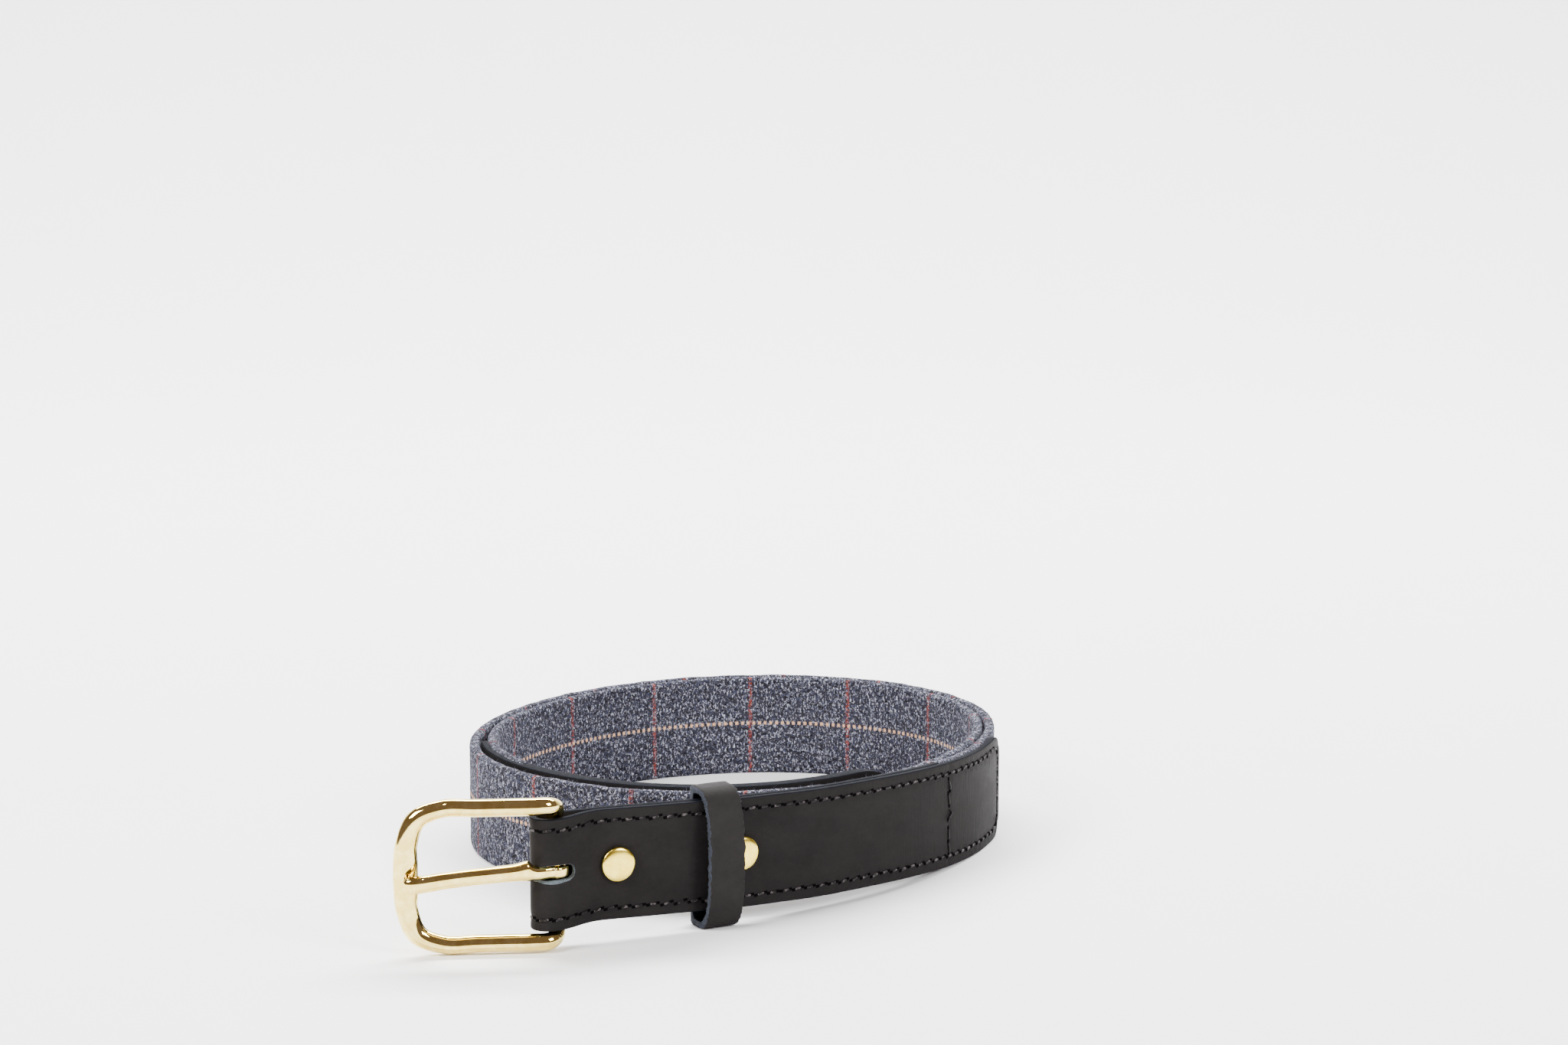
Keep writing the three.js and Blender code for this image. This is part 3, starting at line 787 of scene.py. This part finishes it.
def tip_seam(inset):
    """Outline of the tip in distance and height, drawn in by an even inset."""
    straight = BELT_LENGTH - TIP_POINT_LENGTH
    low = [(TIP_START + inset, inset), (straight, inset)]
    for degrees in range(6, 91, 6):
        angle = math.radians(degrees)
        low.append((
            straight + (TIP_POINT_LENGTH - inset) * math.sin(angle),
            inset + (TIP_POINT_DEPTH - inset * 0.1) * (1 - math.cos(angle))))
    return low + [(along, STRAP_WIDTH - up) for along, up in low[::-1]]


def tip_relief(along, up):
    """How the leather end dips at its seams."""
    inset = round_corner(np.asarray(along, float), BELT_LENGTH, TIP_POINT_LENGTH, TIP_POINT_DEPTH)
    rows = np.minimum(np.abs(up - inset - SEAM_INSET), np.abs(STRAP_WIDTH - inset - SEAM_INSET - up))
    across = along - TIP_START - SEAM_INSET
    return -TIP_DIP * (groove(rows, SEAM_BREADTH) + groove(across, SEAM_BREADTH))


def make_tip():
    """The leather end: one ply lies over the strap's outer face, and beyond the strap the end is one piece
    as thick as two plies closed on each other.
    """
    change = TIP_START + TIP_OVERLAP + PLY_GAP
    rings, data = [], []
    outer = PLY_GAP / 2 + LEATHER
    for first, last, inner, corner in (
            (TIP_START, change, PLY_GAP / 2, 0.0),
            (change + 0.1, BELT_LENGTH, -outer, TIP_POINT_LENGTH)):
        for along in stations(first, last, TIP_STEP, corner):
            inset = float(round_corner(along, BELT_LENGTH, TIP_POINT_LENGTH, TIP_POINT_DEPTH))
            across, up = rounded_section(
                inner, outer, inset, STRAP_WIDTH - inset, TIP_ROUND, TIP_LEVELS, TIP_CORNER_STEPS).T
            face = (across > outer - 0.2).astype(float)
            outward = across + face * tip_relief(along, up)
            rings.append(belt_points(along, outward, up))
            data.append(np.stack([np.full_like(up, along), up, outward], axis=1))
    slots = edge_slots(len(rings), len(rings[0]), TIP_LEVELS, TIP_CORNER_STEPS)
    tip = make_object(
        "leather_end", np.concatenate(rings), loft_faces(len(rings), len(rings[0])),
        [LEATHER_FACE, LEATHER_EDGE], slots, np.concatenate(data))
    face_outwards(tip)
    cutters = []
    turns = 2 * math.pi * np.arange(PUNCH_SIDES) / PUNCH_SIDES
    for i in range(TIP_HOLES):
        along = BELT_LENGTH - TIP_HOLE_FIRST - i * TIP_HOLE_SPACING
        pair = [
            square_points(along, TIP_HOLE_RADIUS * np.cos(turns), reach, TIP_HOLE_RADIUS * np.sin(turns))
            for reach in (-PUNCH_REACH, PUNCH_REACH)]
        cutters.append(face_outwards(make_object(
            "hole_cutter", np.concatenate(pair), loft_faces(2, PUNCH_SIDES), [LEATHER_EDGE])))
    cut_with(tip, cutters)
    coordinates_from_places(tip, TIP_START - 1, BELT_LENGTH + 1)
    return claim(tip, "belt", "leather", "leather_tip")


# Stitches

THREAD_RADIUS, STITCH_LENGTH, STITCH_SLANT = 0.36, 2.7, 0.16
CROSS_STITCH = (3.7, 0.48)                # length and radius
STITCH_SINK, STITCH_RISE, THREAD_TAPER = -0.3, 0.42, 0.72
# Depth, gap, length and radii of the dark tubes of painted shade at the stitch ends
HOLE_SINK, HOLE_GAP = -0.18, 0.12
HOLE_RUNS, HOLE_RADII = (-0.75, -0.6, 0.6, 0.75), (0.05, 0.5, 0.5, 0.05)


def resampled(path, pitch):
    """Places every pitch along a path, and the directions there."""
    path = np.array(path, float)
    steps = np.hypot(*np.diff(path, axis=0).T)
    total = np.concatenate([[0], np.cumsum(steps)])
    spots = np.arange(pitch / 2, total[-1], pitch)
    centres = np.stack([np.interp(spots, total, path[:, i]) for i in (0, 1)], axis=1)
    ahead = np.stack([np.interp(spots + 0.4, total, path[:, i]) for i in (0, 1)], axis=1)
    behind = np.stack([np.interp(spots - 0.4, total, path[:, i]) for i in (0, 1)], axis=1)
    directions = ahead - behind
    return centres, directions / np.linalg.norm(directions, axis=1)[:, None]


def stitch_tube(route, radii, place, points, faces, sides=8):
    """Adds one closed tube; route holds distance, height and how far it stands off the surface."""
    route = np.array(route, float)
    slope = np.gradient(route[:, :2], axis=0)
    slope /= np.linalg.norm(slope, axis=1)[:, None]
    start = len(points)
    for (along, up, proud), (run, rise), radius in zip(route, slope, radii):
        for j in range(sides):
            angle = 2 * math.pi * j / sides
            points.append(place(
                along - rise * radius * math.cos(angle), up + run * radius * math.cos(angle),
                proud + radius * math.sin(angle)))
    for face in loft_faces(len(route), sides):
        faces.append(tuple(start + corner for corner in face))


def make_stitches(name, seams, place, thread=THREAD, size=(STITCH_LENGTH, THREAD_RADIUS), flip=False):
    """Saddle stitches along seams, each with a near-black tube of painted shade at both ends, where the
    needle went through; size is length and radius.
    """
    threads, thread_faces, holes, hole_faces = [], [], [], []
    for seam in seams:
        for centre, direction in zip(*resampled(seam, STITCH_PITCH)):
            slant = STITCH_SLANT + noise.normal(0, 0.05)
            run = direction[0] * math.cos(slant) - direction[1] * math.sin(slant)
            rise = direction[0] * math.sin(slant) + direction[1] * math.cos(slant)
            half = size[0] / 2 * noise.uniform(0.92, 1.04)
            shift = noise.normal(0, 0.09, 2)
            thick = size[1] * noise.uniform(0.85, 1.1)
            route, radii = [], []
            for t in np.linspace(-1, 1, 9):
                arch = math.sqrt(max(0.0, 1 - t ** 4))
                route.append((
                    centre[0] + shift[0] + t * half * run, centre[1] + shift[1] + t * half * rise,
                    STITCH_SINK + STITCH_RISE * arch))
                radii.append(thick * (THREAD_TAPER + (1 - THREAD_TAPER) * arch))
            stitch_tube(route, radii, place, threads, thread_faces)
            # At each end a dark tube of painted shade stands for the hole
            for end in (-1, 1):
                spot = centre + shift + end * (half + HOLE_GAP) * np.array([run, rise])
                pit = [(spot[0] + d * run, spot[1] + d * rise, HOLE_SINK) for d in HOLE_RUNS]
                stitch_tube(pit, HOLE_RADII, place, holes, hole_faces)
    for label, points, faces, material in (
            (name, threads, thread_faces, thread), (name + "_hole_shade", holes, hole_faces, HOLE_SHADE)):
        if flip:
            faces = [face[::-1] for face in faces]
        claim(make_object(label, points, faces, [material]), "belt", "leather")


# Places on a face: distance along, height, and how far a point stands proud of it

def tab_front(along, up, proud):
    return tab_place(along, up, LEATHER / 2 + float(tab_relief(along, up)) + proud)


def tab_back(along, up, proud):
    relief = INNER_RELIEF * float(tab_relief(along, up))
    return tab_place(along, up, LEATHER / 2 + relief + proud, side=-1)


def tip_front(along, up, proud):
    return belt_points(along, PLY_GAP / 2 + LEATHER + float(tip_relief(along, up)) + proud, up)


def tab_seam():
    """Outline of the tab's seam, from the fold round its end and back to the fold."""
    end, low, high = TAB_END - SEAM_INSET, SEAM_INSET, STRAP_WIDTH - SEAM_INSET
    turn = TAB_CORNER - SEAM_INSET * 0.6
    corner = [(end - turn + turn * math.sin(math.radians(a)), low + turn - turn * math.cos(math.radians(a)))
              for a in range(0, 91, 10)]
    lower = [(FOLD_START - 2.2 * FOLD_RADIUS, low)] + corner
    return lower + [(along, high + low - up) for along, up in lower[::-1]]


BACK_SEAM = (10.0, 62.0)                  # clear of the swinging frame; beyond it, the strap hides the seam
CROSS_RUNS = ((3.6, 13.0), (18.6, 28.6))  # the slack stitch lies between them


def back_seams():
    return [[(along, up) for along in BACK_SEAM] for up in (SEAM_INSET, STRAP_WIDTH - SEAM_INSET)]


def cross_seams():
    return [[(CROSS_SEAM, up) for up in run] for run in CROSS_RUNS]


SLACK_RADIUS, SLACK_TOP, SLACK_LENGTH, SLACK_SWING = 0.36, 17.6, 4.0, 0.85


def make_loose_stitch():
    """The slack thread that stands off the cross seam in a small S."""
    route, radii = [], []
    for t in np.linspace(0, 1, 19):
        swing = SLACK_SWING * math.sin(2 * math.pi * t) * (1 - 0.2 * t)
        route.append((
            CROSS_SEAM + 0.2 + swing, SLACK_TOP - SLACK_LENGTH * t,
            -0.25 + 0.75 * math.sin(math.pi * t) ** 0.6))
        radii.append(SLACK_RADIUS)
    points, faces = [], []
    stitch_tube(route, radii, tab_front, points, faces)
    claim(make_object("slack_stitch", points, faces, [DULL_THREAD]), "belt", "leather")


# Keeper

KEEPER_BOW, KEEPER_BACK, KEEPER_START = 8.8, -5.6, -0.5
KEEPER_POWER, KEEPER_CORNER, KEEPER_LIP = 2.5, 1.6, 1.2
KEEPER_BEVEL, KEEPER_STEPS, KEEPER_CROWN, KEEPER_RAGS = 0.45, 10, 0.16, 0.13


def keeper_outline(margin, count=90):
    """Outline of the keeper's section in offset and height, drawn in by an even margin."""
    middle, power, corner = KEEPER_HEIGHT / 2, KEEPER_POWER, KEEPER_CORNER
    points = []
    for i in range(count + 1):
        t = math.sin((2 * i / count - 1) * math.pi / 2)
        bulge = (KEEPER_BOW - margin) * (1 - abs(t) ** power) ** (1 / power)
        points.append((KEEPER_START + bulge, middle + (middle - margin) * t))
    low, high, rear = margin, KEEPER_HEIGHT - margin, KEEPER_BACK + margin
    flat_start = KEEPER_START - KEEPER_LIP

    def rounded(angle, height, way):
        aside, rise = corner * math.sin(math.radians(angle)), corner * math.cos(math.radians(angle))
        return rear + corner - aside, height - way * (corner - rise)

    points += [(flat_start, high), (rear + corner, high)]
    points += [rounded(angle, high, 1) for angle in (30, 60, 90)]
    points += [(rear, up) for up in np.linspace(high - 6, low + 6, 6)]
    points += [rounded(angle, low, -1) for angle in (90, 60, 30, 0)]
    points += [(flat_start, low)]
    return np.array(points)


def make_keeper():
    """A leather band round the tab: rings run round its length, sections across its width."""
    outer, inner = keeper_outline(0.0), keeper_outline(KEEPER_THICK)
    place = belt_points(KEEPER_ALONG, 0.0, 0.0)
    heading = float(plan_at(KEEPER_ALONG)[2])
    half, bevel, steps = KEEPER_WIDTH / 2, KEEPER_BEVEL, KEEPER_STEPS
    widths = [-half, -half + 0.12, -half + bevel] + list(np.linspace(-half + 1.2, half - 1.2, steps))
    widths += [half - bevel, half - 0.12, half]
    sinks = [bevel, 0.14, 0.0] + [0.0] * steps + [0.0, 0.14, bevel]
    section = list(zip(widths, sinks))
    section += [(width, KEEPER_THICK - sink * 0.6) for width, sink in section[::-1]]
    lengths = np.concatenate([[0], np.cumsum(np.hypot(*np.diff(outer, axis=0).T))])
    rags = noise.normal(0, KEEPER_RAGS, (len(outer), 2))
    rings, data = [], []
    for k, (out_spot, in_spot) in enumerate(zip(outer, inner)):
        ring, coordinates = [], []
        for width, depth in section:
            spot = out_spot + (in_spot - out_spot) * depth / KEEPER_THICK
            bend = KEEPER_CROWN * math.cos(width / half * 1.3) if depth < 0.5 else 0.0
            shift = bend * (out_spot - in_spot) / KEEPER_THICK * 0.6
            offset, height = spot + shift
            ragged = rags[k, int(depth > 1)] * (abs(width) > half - 0.2)
            run = width + ragged
            ring.append((
                place[0] + run * math.cos(heading) + offset * math.sin(heading),
                place[1] + run * math.sin(heading) - offset * math.cos(heading), height))
            coordinates.append((width, lengths[k], depth))
        rings.append(np.array(ring))
        data.append(np.array(coordinates))
    size = len(section)
    count = len(widths)
    edge = {0, count - 2, count - 1, count, 2 * count - 2, 2 * count - 1}
    row = [1 if j in edge else (2 if j > count else 0) for j in range(size)]
    keeper = make_object(
        "keeper_band", np.concatenate(rings), loft_faces(len(rings), size, closed=True),
        [KEEPER_LEATHER, RAW_EDGE, LEATHER_EDGE], row * len(rings), np.concatenate(data))
    return claim(face_outwards(keeper), "belt", "leather", "keeper_loop")


# Rivets

RIVET_SIDES, RIVET_FACE, RIVET_SEAT = 72, PLY_GAP / 2 + LEATHER + 0.2, 0.32
# Radius and height of the small cap behind, below the back face, and of the domed cap, above its seat
REAR_CAP = [(0.02, -0.8), (2.4, -0.76), (3.9, -0.5), (4.35, -0.15), (4.4, 0.0), (2.0, 0.0)]
DOMED_CAP = [
    (2.0, 0.0), (4.8, 0.0), (4.97, 0.16), (5.03, 0.45), (4.98, 0.8), (4.75, 1.1), (4.4, 1.28),
    (3.9, 1.4), (2.9, 1.53), (1.5, 1.6), (0.02, 1.62)]


def make_rivet(node, along):
    """A shallow domed cap with a rolled rim, its post, and the small cap behind."""
    profile = [(radius, height - RIVET_FACE) for radius, height in REAR_CAP]
    profile += [(radius, height + RIVET_FACE - RIVET_SEAT) for radius, height in DOMED_CAP]
    radius, height = np.array(profile).T[..., None]
    turns = 2 * math.pi * np.arange(RIVET_SIDES) / RIVET_SIDES
    points = square_points(along, radius * np.cos(turns), height, radius * np.sin(turns))
    rivet = face_outwards(make_object(
        node + "_cap", points.reshape(-1, 3), loft_faces(len(profile), RIVET_SIDES), [CAP_BRASS]))
    return claim(rivet, "belt", "brass", node)


# Buckle

def from_buckle(points):
    """Places of points given along to the front bar, out, and up from the middle of the heel bar."""
    x, y, _ = belt_points(0.0, HEEL_OFFSET, 0.0)
    yaw = math.radians(BUCKLE_YAW)
    along, out, up = np.asarray(points, float).T
    return np.stack([
        x + along * math.cos(yaw) - out * math.sin(yaw),
        y + along * math.sin(yaw) + out * math.cos(yaw), BUCKLE_MIDDLE + up], axis=1)


def smooth_path(points, count, closed=False, steps=40):
    """Evenly spaced places on a curve that passes through the points."""
    points = np.array(points, float)
    size = len(points)
    if closed:
        padded = np.concatenate([points[-1:], points, points[:2]])
    else:
        padded = np.concatenate([
            [2 * points[0] - points[1]], points, [2 * points[-1] - points[-2]]])

    def blend(a, b, low, high, t):
        return ((high - t) * a + (t - low) * b) / (high - low)

    fine = []
    for i in range(size if closed else size - 1):
        p = padded[i:i + 4]
        gaps = np.linalg.norm(np.diff(p, axis=0), axis=1)
        knots = np.concatenate([[0.0], np.cumsum(np.maximum(gaps, 1e-6) ** 0.5)])
        for t in np.linspace(knots[1], knots[2], steps, endpoint=False):
            first = [blend(p[j], p[j + 1], knots[j], knots[j + 1], t) for j in range(3)]
            second = [blend(first[j], first[j + 1], knots[j], knots[j + 2], t) for j in range(2)]
            fine.append(blend(second[0], second[1], knots[1], knots[2], t))
    fine.append(points[0] if closed else points[-1])
    fine = np.array(fine)
    lengths = np.concatenate([[0], np.cumsum(np.linalg.norm(np.diff(fine, axis=0), axis=1))])
    spots = np.linspace(0, lengths[-1], count, endpoint=not closed)
    return np.stack([np.interp(spots, lengths, column) for column in fine.T], axis=1)


SIDE_UP, SIDE_OUT, FRONT_ALONG, FRONT_CORNER = 19.4, 4.8, 41.2, 10.0


def frame_rows():
    """Rows of along, out, up, half width and half depth round the frame."""
    bend = FRONT_CORNER * (1 - math.sqrt(0.5))
    half = [
        (0, 0, 3, 2.2, 2.2), (0, 0, 9, 2.2, 2.2), (0, 0, 15.0, 2.15, 2.08),
        (-0.25, 1.4, SIDE_UP - 1.3, 2.3, 2.12), (1.8, 4.1, SIDE_UP - 0.1, 2.45, 2.4),
        (6, SIDE_OUT, SIDE_UP, 2.5, 2.5), (13, SIDE_OUT, SIDE_UP, 2.5, 2.5),
        (22, SIDE_OUT, SIDE_UP, 2.5, 2.5), (FRONT_ALONG - FRONT_CORNER, SIDE_OUT, SIDE_UP, 2.55, 2.5),
        (FRONT_ALONG - bend, SIDE_OUT, SIDE_UP - bend, 2.85, 2.45),
        (FRONT_ALONG, SIDE_OUT, SIDE_UP - FRONT_CORNER, 3.1, 2.35),
        (FRONT_ALONG + 0.3, SIDE_OUT, 3.0, 3.45, 2.3)]
    return half + [(a, o, -u, w, d) for a, o, u, w, d in half[::-1]]


def oval_rings(rows, sides, power):
    """Rings square to a closed path of rows; power above 2 squares the oval."""
    path = rows[:, :3]
    tangent = np.roll(path, -1, axis=0) - np.roll(path, 1, axis=0)
    tangent /= np.linalg.norm(tangent, axis=1)[:, None]
    flat = np.stack([tangent[:, 2], np.zeros(len(rows)), -tangent[:, 0]], axis=1)
    flat /= np.linalg.norm(flat, axis=1)[:, None]
    normal = np.cross(tangent, flat)
    angle = 2 * math.pi * np.arange(sides) / sides
    wide = np.sign(np.cos(angle)) * np.abs(np.cos(angle)) ** (2 / power)
    deep = np.sign(np.sin(angle)) * np.abs(np.sin(angle)) ** (2 / power)
    return (path[:, None] + flat[:, None] * (rows[:, 3, None] * wide)[..., None]
            + normal[:, None] * (rows[:, 4, None] * deep)[..., None])


FRAME_RINGS, FRAME_SIDES, FRAME_POWER = 420, 32, 2.0
# Shallow hollow in the front bar, where the prong lies: its height, depth, and where it fades out
SEAT_UP, SEAT_DEPTH, SEAT_FADE = -0.9, 0.2, (1.2, 5.5)


def make_frame():
    """The frame: heel bar, side bars swept forward, and the wider front bar."""
    rows = smooth_path(frame_rows(), FRAME_RINGS, closed=True)
    rings = oval_rings(rows, FRAME_SIDES, FRAME_POWER)
    seat = np.abs(rings[..., 2] - SEAT_UP)
    on_front = (rings[..., 0] > FRONT_ALONG - 5) & (rings[..., 1] > SIDE_OUT)
    rings[..., 1] -= np.where(on_front, SEAT_DEPTH * (1 - smooth(seat, *SEAT_FADE)), 0.0)
    faces = loft_faces(len(rings), rings.shape[1], closed=True)
    frame_piece = make_object("brass_frame", from_buckle(rings.reshape(-1, 3)), faces, [BRASS])
    return claim(face_outwards(frame_piece), "buckle", "brass", "buckle_frame")


def prong_rows():
    """Rows of along, out, up, half width and half depth, from the root to the tip."""
    rest = SIDE_OUT + 2.3 + PLY_GAP
    return [
        (0.0, 3.15, 0.2, 1.55, 0.85), (1.6, 3.5, 0.2, 1.6, 1.0), (3.2, 4.05, 0.2, 1.7, 1.25),
        (5.2, 4.9, 0.45, 1.85, 1.6), (6.4, 5.4, 0.85, 2.15, 1.85), (7.6, 5.7, 1.4, 2.8, 2.15),
        (8.5, 5.8, 1.4, 2.75, 2.2), (11, 6.1, 1.15, 2.4, 2.2), (17, 6.8, 0.8, 2.3, 2.15),
        (24, 7.5, 0.4, 2.3, 2.1), (31, 8.6, -0.1, 2.35, 2.1), (36, rest + 2.05, -0.6, 2.4, 2.1),
        (39, rest + 2.0, -0.95, 2.4, 2.02), (40.8, rest + 1.8, -1.1, 2.25, 1.85),
        (41.7, rest + 1.6, -1.2, 1.9, 1.5), (42.15, rest + 1.42, -1.2, 1.3, 1.0),
        (42.4, rest + 1.3, -1.2, 0.3, 0.25)]


PRONG_RINGS, PRONG_SIDES, PRONG_POWER = 150, 40, 0.74
EYE_SIDES, EYE_POWER, EYE_RADIUS, EYE_HALF_HEIGHT, EYE_HALF_THICK = 20, 0.6, 3.2, 1.5, 0.7


def rounded_turn(angle, power):
    """Cosine and sine of an angle, squared off by a power under 1."""
    c, s = np.cos(angle), np.sin(angle)
    return np.sign(c) * np.abs(c) ** power, np.sign(s) * np.abs(s) ** power


def make_prong():
    """The prong: a tongue that lies on the front bar, and an eye round the heel bar."""
    rows = smooth_path(prong_rows(), PRONG_RINGS)
    swell_out, swell_up = rounded_turn(2 * math.pi * np.arange(PRONG_SIDES) / PRONG_SIDES, PRONG_POWER)
    tongue = np.array([
        np.stack([np.full(PRONG_SIDES, along), out + deep * swell_out, up + wide * swell_up], axis=1)
        for along, out, up, wide, deep in rows])
    body = face_outwards(make_object(
        "brass_prong", from_buckle(tongue.reshape(-1, 3)), loft_faces(len(tongue), PRONG_SIDES), [BRASS]))
    # the eye that closes round the heel bar
    across, tall = rounded_turn(2 * math.pi * np.arange(EYE_SIDES) / EYE_SIDES, EYE_POWER)
    radius = EYE_RADIUS + EYE_HALF_THICK * across
    eye = np.array([
        np.stack([radius * math.cos(turn), radius * math.sin(turn), EYE_HALF_HEIGHT * tall], axis=1)
        for turn in np.radians(range(0, 360, 8))])
    loop = face_outwards(make_object(
        "prong_eye", from_buckle(eye.reshape(-1, 3)), loft_faces(len(eye), EYE_SIDES, closed=True), [BRASS]))
    modifier = body.modifiers.new("join", "BOOLEAN")
    modifier.operation = "UNION"
    modifier.solver = "EXACT"
    modifier.object = loop
    evaluated_copy(body)
    bpy.data.objects.remove(loop)
    return claim(body, "tongue", "brass", "prong")


# Build the belt

make_strap()
make_fibres()
make_tab()
make_tip()
make_stitches("tab_stitches", [tab_seam()], tab_front)
make_stitches("cross_stitches", cross_seams(), tab_front, DULL_THREAD, CROSS_STITCH)
make_stitches("tab_back_stitches", back_seams(), tab_back, flip=True)
make_stitches("tip_stitches", [tip_seam(SEAM_INSET) + [(TIP_START + SEAM_INSET, SEAM_INSET)]], tip_front)
make_loose_stitch()
make_keeper()
for rivet_node, rivet_along in RIVETS.items():
    make_rivet(rivet_node, rivet_along)
make_frame()
make_prong()


# Floor, lights and camera

FLOOR_REACH, FLOOR_BACK, SWEEP_BEND, SWEEP_TOP, FLOOR_DROP = 5000.0, 900.0, 300.0, 1400.0, 0.05


def make_floor():
    """A pale floor that sweeps up behind the belt."""
    material, tree, shader = new_material("pale floor")
    tone = noise_node(tree, object_millimetres(tree), 0.02, 3.0, 0.6)
    colour = mix_colour(tree, tone, linear(236, 236, 237), linear(240, 240, 240))
    tree.links.new(colour, shader.inputs["Base Color"])
    shader.inputs["Roughness"].default_value = 0.8
    profile = [(-FLOOR_REACH, 0.0), (FLOOR_BACK, 0.0)]
    for degrees in range(10, 91, 10):
        turn = math.radians(degrees)
        profile.append((FLOOR_BACK + SWEEP_BEND * math.sin(turn), SWEEP_BEND - SWEEP_BEND * math.cos(turn)))
    profile.append((FLOOR_BACK + SWEEP_BEND, SWEEP_TOP))
    points = [(x, y, z - FLOOR_DROP) for x in (-FLOOR_REACH, FLOOR_REACH) for y, z in profile]
    count = len(profile)
    faces = [(i, i + 1, count + i + 1, count + i) for i in range(count - 1)]
    make_object("pale_floor", points, [face[::-1] for face in faces], [material])


ORIGIN, WHITE = (0.0, 0.0, 0.0), (1.0, 1.0, 1.0)
# Name, place and target in metres, width and height in metres, watts, colour
LIGHTS = [
    ("back_panel", (0.0, 0.85, 1.3), ORIGIN, (2.2, 0.34), 125.0, WHITE),
    ("left_softbox", (-1.0, -0.75, 0.95), ORIGIN, (0.6, 0.6), 44.0, (1.0, 0.99, 0.97)),
    ("right_softbox", (1.0, -0.85, 0.85), ORIGIN, (0.5, 0.6), 30.0, WHITE),
    ("small_glint", (-0.19, -0.62, 1.15), (-0.06, -0.1, 0.04), (0.05, 0.1), 1.5, WHITE)]


def make_light(name, place, target, size, power, colour):
    light = bpy.data.lights.new(name, "AREA")
    light.shape = "RECTANGLE"
    light.size, light.size_y = size
    light.energy = power
    light.color = colour
    thing = bpy.data.objects.new(name, light)
    thing.location = place
    thing.rotation_euler = (Vector(target) - Vector(place)).to_track_quat("-Z", "Y").to_euler()
    bpy.context.scene.collection.objects.link(thing)


WORLD_FRONT, WORLD_BACK, WORLD_TURN = linear(124, 110, 114), linear(252, 252, 254), (0.45, 0.95)


def make_world():
    """A studio that is dark in front and bright behind, which gives the brass its dark bands."""
    world = bpy.data.worlds.new("studio")
    world.use_nodes = True
    tree = world.node_tree
    background = tree.nodes["Background"]
    place = add_node(tree, "ShaderNodeTexCoord").outputs["Generated"]
    behind = add_node(tree, "ShaderNodeSeparateXYZ", {0: place}).outputs["Y"]
    shade = mix_colour(tree, range_node(tree, behind, *WORLD_TURN), WORLD_FRONT, WORLD_BACK)
    tree.links.new(shade, background.inputs["Color"])
    background.inputs["Strength"].default_value = 1.0
    bpy.context.scene.world = world


LENS, CAMERA_PLACE, CAMERA_DIP = 89.65, (0.02065, -1.15164, 0.31059), 10.21


def make_camera():
    """The camera at the photo's angle, found by fitting the buckle, rivets and seams."""
    camera = bpy.data.cameras.new("camera")
    camera.lens, camera.sensor_width = LENS, 36.0
    camera.clip_start, camera.clip_end = 0.05, 20.0
    thing = bpy.data.objects.new("camera", camera)
    thing.location = CAMERA_PLACE
    thing.rotation_euler = (math.radians(90 - CAMERA_DIP), 0.0, 0.0)
    bpy.context.scene.collection.objects.link(thing)
    bpy.context.scene.camera = thing


make_floor()
make_world()
for light_row in LIGHTS:
    make_light(*light_row)
make_camera()
